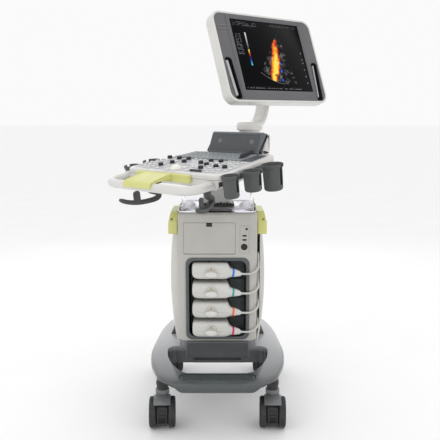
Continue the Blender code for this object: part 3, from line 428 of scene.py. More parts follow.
def clear_plastic():
    g = Graph("clear_plastic")
    g.shader.inputs["Base Color"].default_value = rgb(0.95, 0.945, 0.985)
    g.put(g.spread(g.noise(30.0, 5.0), 0.3, 0.7, 0.03, 0.12), g.shader.inputs["Roughness"])
    g.put(g.bump(g.noise(60.0, 3.0), 0.02, 0.0002), g.shader.inputs["Normal"])
    g.shader.inputs["Transmission Weight"].default_value = 1.0
    g.shader.inputs["IOR"].default_value = 1.07
    return g.mat


def grille():
    """Woven speaker mesh with a soft lighter spot over each of its two drivers."""
    g = Graph("speaker_grille")
    x, z = g.axis("X"), g.axis("Z")
    weave = g.math("MULTIPLY", g.math("SINE", g.math("MULTIPLY", x, 1900.0)),
                   g.math("SINE", g.math("MULTIPLY", z, 1900.0)))
    spots = None
    for centre in (-0.078, 0.086):
        dx = g.math("MULTIPLY", g.math("SUBTRACT", x, centre), 75.0)
        dz = g.math("MULTIPLY", g.math("SUBTRACT", z, 0.046), 95.0)
        distance = g.math("ADD", g.math("MULTIPLY", dx, dx), g.math("MULTIPLY", dz, dz))
        spot = g.spread(distance, 0.0, 1.0, 1.0, 0.0)
        spots = spot if spots is None else g.math("MAXIMUM", spots, spot)
    cloth = g.mix(g.spread(weave, -1.0, 1.0), rgb(0.045, 0.050, 0.052), rgb(0.115, 0.120, 0.125))
    cloth = g.mix(g.math("MULTIPLY", spots, 0.35), cloth, rgb(0.36, 0.35, 0.36))
    g.put(cloth, g.shader.inputs["Base Color"])
    g.put(g.spread(g.noise(20.0), 0.3, 0.7, 0.55, 0.75), g.shader.inputs["Roughness"])
    g.put(g.bump(weave, 0.5, 0.0004), g.shader.inputs["Normal"])
    return g.mat


CLEAR = clear_plastic()
GRILLE = grille()


# ---------------------------------------------------------------- base
def base_outline(inset):
    half_front, half_mid, half_back = 0.192 - inset, 0.262 - inset, 0.232 - inset
    corners = [(-half_front, -0.318 + inset), (half_front, -0.318 + inset), (half_mid, -0.105),
               (half_back, 0.150), (0.190 - inset, 0.268 - inset), (inset - 0.190, 0.268 - inset),
               (-half_back, 0.150), (-half_mid, -0.105)]
    return rounded_outline(corners, [0.075, 0.075, 0.090, 0.050, 0.045, 0.045, 0.050, 0.090], 10)


def base_solid():
    """Cast slab: rounded shoulders, sloping top, underside raised over the casters."""
    levels = [(0.012, 0.03), (0.003, 0.12), (0.0, 0.24), (0.0, 0.50)]
    for k in range(1, 9):
        s = k / 8
        levels.append((0.022 * (1.0 - (1.0 - s**2.4) ** (1 / 2.4)), 0.50 + 0.50 * s))
    rings = [on_xy(base_outline(0.030), 0.157)]
    for inset, level in levels:
        ring = []
        for x, y in base_outline(inset):
            low = 0.157 + 0.026 * ease(abs(x), 0.120, 0.168)
            high = 0.195 + 0.100 * (y + 0.318)
            ring.append(Vector((x, y, low + (high - low) * level)))
        rings.append(ring)
    opening = rounded_outline(
        [(-0.122, -0.241), (0.122, -0.241), (0.170, -0.170), (0.190, -0.100), (0.190, -0.030),
         (-0.190, -0.030), (-0.190, -0.100), (-0.170, -0.170)], [0.025, 0.025] + [0.030] * 6, 10)
    tools = [("DIFFERENCE", lathe([(0.10, 0.0415), (0.184, 0.0415)], "z", (side * 0.199, y, 0.0)))
             for side in (-1, 1) for y in (-0.2105, 0.235)]
    tools.append(("DIFFERENCE", prism(on_xy, opening, 0.10, 0.40)))
    tools.append(("UNION", slab((-0.138, -0.026, 0.200), (0.138, 0.205, 0.262), 0.020)))
    tools.append(("DIFFERENCE", slab((-0.135, -0.296, 0.1885), (0.135, -0.2445, 0.230), 0.015)))
    return carve(skin(rings), *tools)


def inlay_prism(grow):
    outline = rounded_outline(
        [(-0.113 - grow, -0.3115 - grow), (0.113 + grow, -0.3115 - grow), (0.150 + grow, -0.235),
         (0.172 + grow, -0.150), (0.172 + grow, -0.120), (-0.172 - grow, -0.120), (-0.172 - grow, -0.150),
         (-0.150 - grow, -0.235)], [0.045, 0.045, 0.02, 0.01, 0.005, 0.005, 0.01, 0.02], 10)
    return prism(on_xy, outline, 0.05, 0.30)


def make_base():
    piece("base_body", carve(base_solid(), ("DIFFERENCE", inlay_prism(0.0006))), BASE_PAINT_WITH_PAINTED_LIGHT, "chassis",
          cad=["base_casting"], bevel=0.0015, smooth=32.0)
    piece("base_front_inlay", carve(base_solid(), ("INTERSECT", inlay_prism(0.0))), INLAY, "chassis",
          bevel=0.0012, smooth=32.0)
    bm = slab((-0.1345, -0.2955, 0.1888), (0.1345, -0.2450, 0.1980), 0.0148, soft=0.0015)
    for k in range(11):
        y = -0.2905 + 0.0041 * k
        slab((-0.124, y, 0.1975), (0.124, y + 0.0022, 0.1986), 0.0009, bm, soft=0.0004)
    piece("footrest_tread", bm, TREAD, "chassis", cad=["footrest_tread"])

    rings = []
    for half, front, back, z in ((0.1195, -0.1225, -0.114, 0.2125), (0.1195, -0.1255, -0.114, 0.2160),
                                 (0.1180, -0.1285, -0.118, 0.226), (0.1165, -0.1320, -0.122, 0.245),
                                 (0.1145, -0.1350, -0.125, 0.264), (0.1125, -0.1375, -0.128, 0.282)):
        rings.append(on_xy(rect(-half, half, front, back, 0.003), z))
    bm = skin(rings)
    rim = [Vector(p) for p in ((-0.1170, -0.1260, 0.2170), (-0.1150, -0.1300, 0.2380),
                               (-0.1108, -0.1370, 0.2790), (0.1108, -0.1370, 0.2790),
                               (0.1150, -0.1300, 0.2380), (0.1170, -0.1260, 0.2170))]
    bm_rim = skin(sweep(rim, lambda t: circle(0.0008, count=8)))
    piece("apron_panel", bm, surface("apron_plastic", (0.070, 0.074, 0.080), 0.38, dust=0.2), "chassis",
          cad=["base_apron"], bevel=0.001)
    piece("apron_edge_line", bm_rim, BASE_PAINT_WITH_PAINTED_LIGHT, "chassis")
    piece("apron_lower_strip", slab((-0.088, -0.1235, 0.2045), (0.088, -0.1160, 0.2130), 0.002, soft=0.001),
          BLACK,
          "chassis")
    for side, label in ((-1, "left"), (1, "right")):
        rings = []
        for y, outer, top in ((0.078, 0.1900, 0.2560), (0.095, 0.1890, 0.2720), (0.120, 0.1860, 0.2800),
                              (0.150, 0.1800, 0.2800)):
            corners = [(side * 0.150, 0.222), (side * outer, 0.222), (side * (outer - 0.006), 0.246),
                       (side * 0.170, top), (side * 0.150, top)]
            rings.append(on_xz(rounded_outline(corners, [0.001, 0.001, 0.006, 0.004, 0.001], 4), y))
        piece(f"tower_foot_gusset_{label}", skin(rings), DARK, "chassis", bevel=0.001)


# ---------------------------------------------------------------- casters
def wheel_half(side, axle_y):
    """One wheel of a twin caster: rounded tread, raised side bead, dished hub."""
    tyre = [(0.0215, 0.0415), (0.0215, 0.0465), (0.0222, 0.0500), (0.0240, 0.0529), (0.0268, 0.0546),
            (0.0300, 0.0550), (0.0390, 0.0550), (0.0420, 0.0545), (0.0445, 0.0527), (0.0460, 0.0501),
            (0.0465, 0.0469), (0.0463, 0.0445), (0.0452, 0.0426), (0.0446, 0.0415)]
    hub = [(0.0218, 0.0062), (0.0218, 0.0413), (0.0300, 0.0417), (0.0440, 0.0417), (0.0447, 0.0406),
           (0.0444, 0.0380), (0.0432, 0.0354), (0.0428, 0.0270), (0.0434, 0.0220), (0.0452, 0.0180),
           (0.0456, 0.0155), (0.0450, 0.0135), (0.0432, 0.0120), (0.0430, 0.0062)]
    centre = (0.0, axle_y, WHEEL_R)
    bm = lathe([(side * x, r) for x, r in tyre], "x", centre, 64, loop=True)
    return lathe([(side * x, r) for x, r in hub], "x", centre, 64, bm, 1, loop=True)


def make_caster(name):
    x, y, front, toe = CASTERS[name]
    at = MACHINE @ Matrix.Translation((x, y, 0.0)) @ Matrix.Rotation(math.radians(toe), 4, "Z")
    axle_y = front * TRAIL
    bm = wheel_half(-1, axle_y)
    merge(bm, wheel_half(1, axle_y))
    lathe([(-0.0455, 0.0058), (0.0455, 0.0058)], "x", (0.0, axle_y, WHEEL_R), 24, bm, 2)
    piece(f"caster_{name}_twin_wheels", bm, [TYRE, HUB, STEEL], f"caster_{name}_wheels", at,
          [f"caster_{name}_wheels"])

    bm = lathe([(-0.0203, 0.0075), (-0.0203, 0.0412), (-0.0195, 0.0436), (-0.0180, 0.0440), (0.0180, 0.0440),
                (0.0195, 0.0436), (0.0203, 0.0412), (0.0203, 0.0075)], "x", (0.0, axle_y, WHEEL_R), 64,
               index=1, loop=True)
    fender = []
    for k in range(15):
        turn = math.radians(47.0 + 76.0 * k / 14)
        ring = []
        for across, radius in ((-0.0300, 0.0566), (-0.0290, 0.0562), (0.0290, 0.0562), (0.0300, 0.0566),
                               (0.0300, 0.0592), (0.0290, 0.0604), (0.0250, 0.0612), (-0.0250, 0.0612),
                               (-0.0290, 0.0604), (-0.0300, 0.0592)):
            ring.append(Vector((across, axle_y + front * radius * math.cos(turn),
                                WHEEL_R + radius * math.sin(turn))))
        fender.append(ring)
    skin(fender, bm=bm, index=0)
    slab((-0.0200, min(axle_y - front * 0.028, axle_y + front * 0.016), 0.078),
         (0.0200, max(axle_y - front * 0.028, axle_y + front * 0.016), 0.1125), 0.005, bm, 1, 0.001)
    lathe([(0.0980, 0.0205), (0.1120, 0.0215), (0.1150, 0.0245), (0.1170, 0.0250), (0.1300, 0.0250),
           (0.1330, 0.0240), (0.1340, 0.0210)], "z", (0.0, 0.0, 0.0), 40, bm, 0)
    lathe([(0.1335, 0.0205), (0.1480, 0.0205), (0.1490, 0.0225), (0.1600, 0.0225), (0.1610, 0.0205),
           (0.1830, 0.0205)], "z", (0.0, 0.0, 0.0), 40, bm, 1)
    guard = []
    for k in range(9):
        angle = math.radians(-27.0 - 27.0 * k / 8)
        lip = 0.0015 * (k < 2) + 0.0012 * (k > 6)
        ring = []
        for across, radius in ((-0.0195, 0.0425), (0.0195, 0.0425), (0.0195, 0.0480 + lip),
                               (0.0170, 0.0494 + lip), (-0.0170, 0.0494 + lip), (-0.0195, 0.0480 + lip)):
            ring.append(Vector((across, axle_y + front * radius * math.cos(angle),
                                WHEEL_R + radius * math.sin(angle))))
        guard.append(ring)
    skin(guard, bm=bm, index=1)
    piece(f"caster_{name}_fork", bm, [HOOD, HUB], f"caster_{name}", at, [f"caster_{name}_yoke"],
          bevel=0.0006)

    bm = bmesh.new()
    arc = [math.radians(31.0 - 55.0 * k / 12) for k in range(13)]
    for low, high, deep, thick in ((-0.0175, -0.0125, 0.0453, 0.0056), (0.0125, 0.0175, 0.0453, 0.0056),
                                   (-0.0130, 0.0130, 0.0450, 0.0022)):
        rings = []
        for angle in arc:
            rings.append([Vector((a, axle_y + front * r * math.cos(angle), WHEEL_R + r * math.sin(angle)))
                          for a, r in ((low, deep), (high, deep), (high, deep + thick), (low, deep + thick))])
        skin(rings, bm=bm)
    for angle in (28.0, 8.0, -8.0, -21.0):
        turn = math.radians(angle)
        skin([[Vector((a, axle_y + front * (0.0484 + r) * math.cos(turn) - front * s * math.sin(turn),
                       WHEEL_R + (0.0484 + r) * math.sin(turn) + s * math.cos(turn)))
               for r, s in centred_rect(0.0028, 0.0017, 0.0009, steps=3)] for a in (-0.0135, 0.0135)], bm=bm)
    piece(f"caster_{name}_brake_pedal", bm, BLACK, f"caster_{name}_pedal", at, [f"caster_{name}_pedal"],
          bevel=0.0006)


# ---------------------------------------------------------------- tower
def side_cover_half(z):
    t = min(max((z - 0.260) / 0.505, 0.0), 1.0)
    return 0.1505 + 0.0240 * math.sin(math.pi * t) ** 0.8


def rear_cover_outer(z):
    half = side_cover_half(z)
    outline = rounded_outline([(half, -0.078), (half, 0.225), (-half, 0.225), (-half, -0.078)],
                              [0.004, 0.045, 0.045, 0.004], 10)
    return on_xy(outline, z)


def rear_cover_inner(z, at_z):
    half = side_cover_half(z) - 0.004
    far = max(min(0.1565, half - 0.003), 0.1458)
    outline = rounded_outline([(-0.1458, -0.098), (-0.1458, -0.048), (-half, -0.038), (-half, 0.221),
                               (half, 0.221), (half, -0.038), (far, -0.048), (far, -0.098)],
                              [0.001, 0.0015, 0.0015, 0.042, 0.042, 0.0015, 0.0015, 0.001], 6)
    return on_xy(outline, at_z)


def make_tower():
    heights = [0.2627 + 0.4888 * k / 26 for k in range(27)]
    hollow = ([rear_cover_inner(heights[0], 0.240)] + [rear_cover_inner(z, z) for z in heights[1:-1]]
              + [rear_cover_inner(heights[-1], 0.780)])
    cover = carve(skin([rear_cover_outer(z) for z in heights]), ("DIFFERENCE", skin(hollow)),
                  ("DIFFERENCE", slab((-0.200, -0.0815, 0.6742), (-0.140, 0.1015, 0.760), 0.004)),
                  ("DIFFERENCE", slab((0.140, -0.0815, 0.6742), (0.200, 0.1015, 0.760), 0.004)),
                  *[("DIFFERENCE", slab((-0.080, 0.200, z), (0.080, 0.240, z + 0.005), 0.002, soft=0.001))
                    for z in [0.560 + 0.011 * k for k in range(12)]],
                  ("DIFFERENCE", slab((-0.062, 0.2225, 0.330), (0.062, 0.240, 0.470), 0.006)))
    piece("tower_side_and_rear_cover", cover, WHITE, "chassis", cad=["tower_rear_cover"],
          bevel=0.0007, smooth=30.0)
    bm = slab((-0.060, 0.2195, 0.332), (0.060, 0.2222, 0.468), 0.004, soft=0.0008)
    slab((-0.040, 0.2215, 0.350), (-0.010, 0.2240, 0.372), 0.002, bm, 1, 0.0006)
    for x, z in ((0.018, 0.360), (0.038, 0.360), (-0.040, 0.405), (-0.018, 0.405), (0.008, 0.405),
                 (0.036, 0.405)):
        lathe([(0.2215, 0.0060), (0.2240, 0.0060), (0.2244, 0.0055), (0.2244, 0.0035), (0.2232, 0.0030)], "y",
              (x, 0.0, z), 24, bm, 1)
    for z in (0.436, 0.450):
        slab((-0.045, 0.2215, z), (0.045, 0.2232, z + 0.007), 0.002, bm, 1, 0.0006)
    piece("rear_connector_plate", bm, [PANEL, BLACK], "chassis")

    levels = [(0.283, 0.001), (0.2845, 0.0), (0.745, 0.0)]
    levels += [(0.745 + 0.018 * math.sin(math.radians(a)), 0.012 * (1 - math.cos(math.radians(a))))
               for a in (15, 30, 45, 60, 75, 90)]
    shell = skin([on_xy(rect(inset - 0.145, 0.145 - inset, inset - 0.130, 0.205 - inset, 0.030, 12), z)
                  for z, inset in levels])
    inside = skin([on_xy(rect(inset - 0.142, 0.142 - inset, inset - 0.127, 0.202 - inset, 0.027, 12), z)
                   for z, inset in ((0.20, 0.0), (0.749, 0.0), (0.7585, 0.010))])
    face = rounded_outline([(-0.1225, 0.270), (0.1225, 0.270), (0.1225, 0.750), (-0.1225, 0.750)],
                           [0.004, 0.004, 0.028, 0.028], 10)
    bay_hole = rect(-0.108, 0.108, 0.2945, 0.5905, 0.018, 10)
    cover = carve(shell, ("DIFFERENCE", inside),
                  ("DIFFERENCE", slab((-0.20, -0.055, 0.20), (0.20, 0.30, 0.752), 0.002)),
                  ("DIFFERENCE", skin([on_xz(face, -0.150), on_xz(grown(face, -0.0006), -0.1288)])),
                  ("DIFFERENCE", prism(on_xz, rect(-0.1227, 0.0647, 0.6094, 0.7257, 0.005), -0.20, -0.12)),
                  ("DIFFERENCE", prism(on_xz, rect(0.0805, 0.1145, 0.6135, 0.7155, 0.004), -0.20, -0.12)),
                  ("DIFFERENCE", prism(on_xz, bay_hole, -0.20, -0.10)),
                  ("DIFFERENCE",
                   prism(on_xy, centred_rect(0.064, 0.054, 0.022, (0.0, COLUMN_Y)), 0.70, 0.80)))
    piece("tower_front_moulding", cover, BEIGE, "chassis", cad=["tower_front_cover"],
          bevel=0.0008, smooth=30.0)

    for label, side in (("left", -1), ("right", 1)):
        rings = []
        for z, inner, outer, front, back in ((0.6750, 0.1465, 0.1800, -0.0795, 0.0995),
                                             (0.6762, 0.1465, 0.1813, -0.0803, 0.1003),
                                             (0.6790, 0.1465, 0.1820, -0.0805, 0.1005),
                                             (0.7130, 0.1465, 0.1820, -0.0805, 0.1005),
                                             (0.7200, 0.1462, 0.1812, -0.0800, 0.0995),
                                             (0.7250, 0.1460, 0.1797, -0.0780, 0.0975),
                                             (0.7400, 0.1450, 0.1765, -0.0700, 0.0910),
                                             (0.7540, 0.1440, 0.1725, -0.0620, 0.0850),
                                             (0.7560, 0.1440, 0.1715, -0.0610, 0.0840),
                                             (0.7570, 0.1440, 0.1700, -0.0600, 0.0830)):
            low, high = sorted((side * inner, side * outer))
            rings.append(on_xy(rect(low, high, front, back, 0.005, 8), z))
        low_x, high_x = sorted((side * 0.1590, side * 0.1768))
        wedge = [(-0.0900, 0.7245), (0.1100, 0.7290), (0.1100, 0.7310), (-0.0900, 0.7335)]
        slit = sorted((side * 0.1640, side * 0.2000))
        bm = carve(skin(rings), ("DIFFERENCE", slab((low_x, -0.050, 0.650), (high_x, 0.080, 0.708), 0.006)),
                   ("DIFFERENCE", prism(on_yz, wedge, slit[0], slit[1])))
        piece(f"side_grip_{label}", bm, LIME, "chassis", cad=[f"side_handle_{label}"],
              bevel=0.0012, smooth=30.0)
        low_x, high_x = sorted((side * 0.1530, side * 0.1650))
        bm = slab((low_x, -0.066, 0.7215), (high_x, 0.088, 0.7345), 0.002)
        piece(f"side_grip_gap_{label}", bm, BLACK, "chassis")


def make_door_and_ports():
    door = rect(-0.1218, 0.0638, 0.6112, 0.7248, 0.0045, 8)
    inner = rect(-0.1212, 0.0632, 0.6118, 0.7242, 0.0042, 8)
    bm = carve(skin([on_xz(door, -0.1262), on_xz(door, -0.1290), on_xz(inner, -0.1296)]),
               ("DIFFERENCE", slab((-0.0405, -0.140, 0.7110), (-0.0195, -0.120, 0.740), 0.0004)))
    piece("module_door_panel", bm, BEIGE, "module_door", cad=["module_door"],
          bevel=0.0003)
    bm = slab((-0.0400, -0.1302, 0.7154), (-0.0200, -0.1268, 0.7234), 0.0008, soft=0.0005)
    slab((-0.0385, -0.1308, 0.7200), (-0.0215, -0.1296, 0.7224), 0.0006, bm, soft=0.0003)
    slab((-0.0385, -0.1304, 0.7164), (-0.0215, -0.1296, 0.7180), 0.0006, bm, 1, 0.0002)
    bronze = surface("latch_bronze", (0.16, 0.085, 0.030), 0.35, metallic=0.5)
    piece("door_latch_slide", bm, [BLACK, bronze], "door_latch", cad=["door_latch"])

    outline = rect(0.0810, 0.1140, 0.6140, 0.7150, 0.0036, 8)
    ports = (("white", 0.0900, 0.7015, 0.0052), ("black", 0.1050, 0.7025, 0.0044),
             ("trigger", 0.0965, 0.6368, 0.0121))
    tools = [("DIFFERENCE", lathe([(-0.150, r), (-0.1265, r)], "y", (x, 0.0, z), 36)) for _, x, z, r in ports]
    tools += [("DIFFERENCE", slab((0.0900, -0.150, z - 0.0032), (0.1050, -0.1265, z + 0.0032), 0.0004))
              for z in (0.6778, 0.6627)]
    bm = carve(skin([on_xz(outline, -0.1252), on_xz(outline, -0.1289),
                     on_xz(grown(outline, -0.0006), -0.1294)]),
               *tools)
    piece("input_panel", bm, BEIGE, "chassis", cad=["io_panel"], bevel=0.0003)
    bm = lathe([(-0.1266, 0.0050), (-0.1300, 0.0050), (-0.1305, 0.0045), (-0.1305, 0.0030), (-0.1280, 0.0026),
                (-0.1280, 0.0)], "y", (0.0900, 0.0, 0.7015), 32)
    lathe([(-0.1280, 0.0022), (-0.1293, 0.0022), (-0.1296, 0.0018), (-0.1296, 0.0)], "y",
          (0.0900, 0.0, 0.7015), 24, bm)
    piece("input_port_white", bm, PLUG, "chassis")
    bm = lathe([(-0.1266, 0.0042), (-0.1298, 0.0042), (-0.1302, 0.0038), (-0.1302, 0.0024), (-0.1270, 0.0022),
                (-0.1270, 0.0)], "y", (0.1050, 0.0, 0.7025), 32)
    lathe([(-0.1266, 0.0118), (-0.1298, 0.0118), (-0.1304, 0.0112), (-0.1304, 0.0098), (-0.1296, 0.0092),
           (-0.1272, 0.0090), (-0.1272, 0.0)], "y", (0.0965, 0.0, 0.6368), 48, bm)
    for k in range(6):
        turn = math.radians(60.0 * k + 30.0)
        lathe([(-0.1272, 0.0010), (-0.1288, 0.0010), (-0.1291, 0.0006)], "y",
              (0.0965 + 0.0050 * math.cos(turn), 0.0, 0.6368 + 0.0050 * math.sin(turn)), 12, bm)
    for z in (0.6778, 0.6627):
        slab((0.0902, -0.1270, z - 0.0030), (0.1048, -0.1266, z + 0.0030), 0.0004, bm)
        slab((0.0915, -0.1285, z - 0.0002), (0.1035, -0.1268, z + 0.0014), 0.0004, bm)
    piece("input_ports_black", bm, BLACK, "chassis")


def make_bay():
    def ring(inset, y, radius):
        return on_xz(rect(-0.116 + inset, 0.116 - inset, 0.288 + inset, 0.597 - inset, radius, 12), y)

    rings = [ring(0.0090, -0.0600, 0.017), ring(0.0090, -0.1290, 0.017), ring(0.0, -0.1290, 0.024),
             ring(0.0, -0.1304, 0.024)]
    for angle in (20, 40, 60, 80, 100, 120, 140, 160):
        turn = math.radians(angle)
        rings.append(ring(0.0060 - 0.0060 * math.cos(turn), -0.1304 - 0.0030 * math.sin(turn), 0.0235))
    rings += [ring(0.0120, -0.1290, 0.016), ring(0.0122, -0.1000, 0.016), ring(0.0128, -0.0680, 0.016),
              ring(0.0160, -0.0640, 0.013)]
    bm = skin(rings)
    for face in bm.faces:
        spot = face.calc_center_median()
        face.material_index = int(spot.y < -0.1285)
    piece("connector_bay_tub", bm, [BAY, BAY_RIM], "chassis", cad=["connector_bay"],
          smooth=50.0)
    bm = bmesh.new()
    for z in CONNECTOR_ZS:
        slab((0.0420, -0.0720, z - 0.0310), (0.1020, -0.0632, z + 0.0280), 0.003, bm, soft=0.002)
        slab((-0.1020, -0.0700, z + 0.0335), (0.0380, -0.0632, z + 0.0395), 0.002, bm, soft=0.0015)
    piece("bay_back_ribs", bm, surface("bay_rib_plastic", (0.050, 0.056, 0.058), 0.45), "chassis")


# ---------------------------------------------------------------- probe plugs and their leads
def blend_through(stations, x):
    """Smooth interpolation through (x, value) stations."""
    for (x0, v0), (x1, v1) in zip(stations, stations[1:]):
        if x <= x1:
            return v0 + (v1 - v0) * max(0.0, (x - x0) / (x1 - x0))
    return stations[-1][1]


PLUG_TOP = [(-0.0920, 0.0165), (-0.0912, 0.0215), (-0.0890, 0.0260), (-0.0855, 0.0284), (-0.0820, 0.0290),
            (-0.0400, 0.0290), (0.0200, 0.0288), (0.0330, 0.0284), (0.0370, 0.0272), (0.0390, 0.0250),
            (0.0410, 0.0215), (0.0435, 0.0172), (0.0465, 0.0135), (0.0500, 0.0112), (0.0550, 0.0096),
            (0.0620, 0.0086), (0.0680, 0.0066), (0.0760, 0.0032), (0.0830, 0.0000)]
PLUG_LOW = [(-0.0920, -0.0120), (-0.0910, -0.0165), (-0.0885, -0.0210), (-0.0840, -0.0250),
            (-0.0770, -0.0276), (-0.0690, -0.0287), (-0.0500, -0.0292), (0.0200, -0.0290), (0.0340, -0.0278),
            (0.0420, -0.0246), (0.0480, -0.0222), (0.0560, -0.0206), (0.0620, -0.0203), (0.0700, -0.0194),
            (0.0830, -0.0178)]
PLUG_FRONT = [(-0.0920, -0.1440), (-0.0905, -0.1485), (-0.0875, -0.1512), (-0.0830, -0.1522),
              (0.0280, -0.1522), (0.0400, -0.1516), (0.0480, -0.1512), (0.0560, -0.1520), (0.0620, -0.1518),
              (0.0830, -0.1472)]
PLUG_BACK = [(-0.0920, -0.0700), (-0.0880, -0.0640), (0.0300, -0.0640), (0.0360, -0.0850), (0.0400, -0.1080),
             (0.0440, -0.1170), (0.0500, -0.1240), (0.0560, -0.1290), (0.0620, -0.1302), (0.0830, -0.1348)]


def plug_ring(x, z, grow=0.0):
    top, low = blend_through(PLUG_TOP, x) + grow, blend_through(PLUG_LOW, x) - grow
    front, back = blend_through(PLUG_FRONT, x) - grow, blend_through(PLUG_BACK, x) + grow
    radius = 0.46 * min(top - low, back - front, 0.034)
    return on_yz(rect(front, back, z + low, z + top, radius, 8), x)


def cable_route(index):
    z = CONNECTOR_ZS[index - 1] - 0.0095
    rise = (0.0, 0.062, 0.104, 0.132, 0.156)[index]
    lane_y = -0.100 + 0.013 * index
    return [(0.0835, -0.141, z), (0.108, -0.141, z - 0.0005), (0.122, -0.140, z + 0.001),
            (0.136, -0.133, z + 0.006), (0.148, -0.121, z + 0.016),
            (0.150, 0.5 * (lane_y - 0.121), z + 0.028), (0.150, lane_y, z + 0.044),
            (0.150, lane_y + 0.0015, z + rise - 0.016), (0.150, lane_y + 0.008, z + rise - 0.003),
            (0.150, lane_y + 0.020, z + rise), (0.150, -0.0106, z + rise)]


def make_cables():
    for index in range(1, 5):
        path = smooth_path(cable_route(index), 10)
        curve = bpy.data.curves.new(f"probe_lead_{index}", "CURVE")
        curve.dimensions = "3D"
        curve.bevel_depth = 0.00375
        curve.bevel_resolution = 6
        curve.use_fill_caps = True
        spline = curve.splines.new("POLY")
        spline.points.add(len(path) - 1)
        for point, place in zip(spline.points, path):
            point.co = (*place, 1.0)
        curve.materials.append(JACKET)
        lead = bpy.data.objects.new(f"probe_lead_{index}", curve)
        bpy.context.scene.collection.objects.link(lead)
        lead.matrix_world = MACHINE
        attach(lead, "chassis")
        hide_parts(f"probe_cable_{index}")


def make_plugs():
    for index, z in enumerate(CONNECTOR_ZS, start=1):
        stations = sorted({round(x, 5)
                           for line in (PLUG_TOP, PLUG_LOW, PLUG_FRONT, PLUG_BACK) for x, _ in line}
                          | {round(-0.08 + 0.008 * k, 5) for k in range(12)})
        bm = skin([plug_ring(x, z) for x in stations])
        lathe([(0.0815, 0.0062), (0.0845, 0.0058), (0.0880, 0.0050), (0.0885, 0.0044)], "x",
              (0.0, PLUG_Y, z - 0.0095), 32, bm)
        piece(f"probe_plug_{index}", bm, PLUG, "chassis", cad=[f"probe_connector_{index}"],
              smooth=45.0)
        band = []
        for k in range(7):
            ring = plug_ring(0.0545 + 0.0068 * k / 6, z, 0.0008 + 0.0005 * math.sin(math.pi * k / 6))
            band.append([p + Vector((0.14 * (p.z - z + 0.006) - 9.0 * (p.z - z + 0.006) ** 2, 0.0, 0.0))
                         for p in ring])
        piece(f"probe_plug_{index}_colour_band", skin(band), RINGS[index - 1], "chassis")
        line = [Vector((x, blend_through(PLUG_FRONT, x) + 0.00008,
                        z - 0.0040 - 0.0035 * ease(x, -0.02, 0.05)))
                for x in [-0.082 + 0.0068 * k for k in range(20)]]
        piece(f"probe_plug_{index}_seam", skin(sweep(line, lambda t: circle(0.00028, count=8))),
              SEAM_GREY_AND_PAINTED_SHADOW, "chassis")
        centre = (-0.023, 0.0, z - 0.002)
        bm = lathe([(-0.1521, 0.0205), (-0.1523, 0.0210), (-0.1545, 0.0210), (-0.1552, 0.0206),
                    (-0.1555, 0.0198), (-0.1552, 0.0185), (-0.1550, 0.0)], "y", centre, 64)
        for dx, dz, radius in ((0.0, 0.0125, 0.0024), (0.0085, 0.0085, 0.0011), (-0.0085, 0.0085, 0.0009)):
            lathe([(-0.1548, radius), (-0.1553, radius), (-0.1555, radius * 0.7)], "y",
                  (centre[0] + dx, 0.0, centre[2] + dz), 20, bm, 2)
        lever = []
        for depth, half_a, half_b in ((-0.1540, 0.0205, 0.0095), (-0.1560, 0.0216, 0.0104),
                                      (-0.1590, 0.0223, 0.0111), (-0.1620, 0.0224, 0.0112),
                                      (-0.1645, 0.0218, 0.0106), (-0.1660, 0.0203, 0.0092),
                                      (-0.1667, 0.0170, 0.0064), (-0.1669, 0.0100, 0.0030)):
            lever.append([Vector((centre[0] + half_a * math.cos(a), depth,
                                  centre[2] - 0.0062 + half_b * math.sin(a)))
                          for a in [2.0 * math.pi * (k + 0.5) / 48 for k in range(48)]])
        skin(lever, bm=bm, index=1)
        piece(f"probe_lock_knob_{index}", bm, [IVORY, WHITE, BLACK], f"connector_lock_{index}",
              cad=[f"connector_lock_{index}"], smooth=50.0)


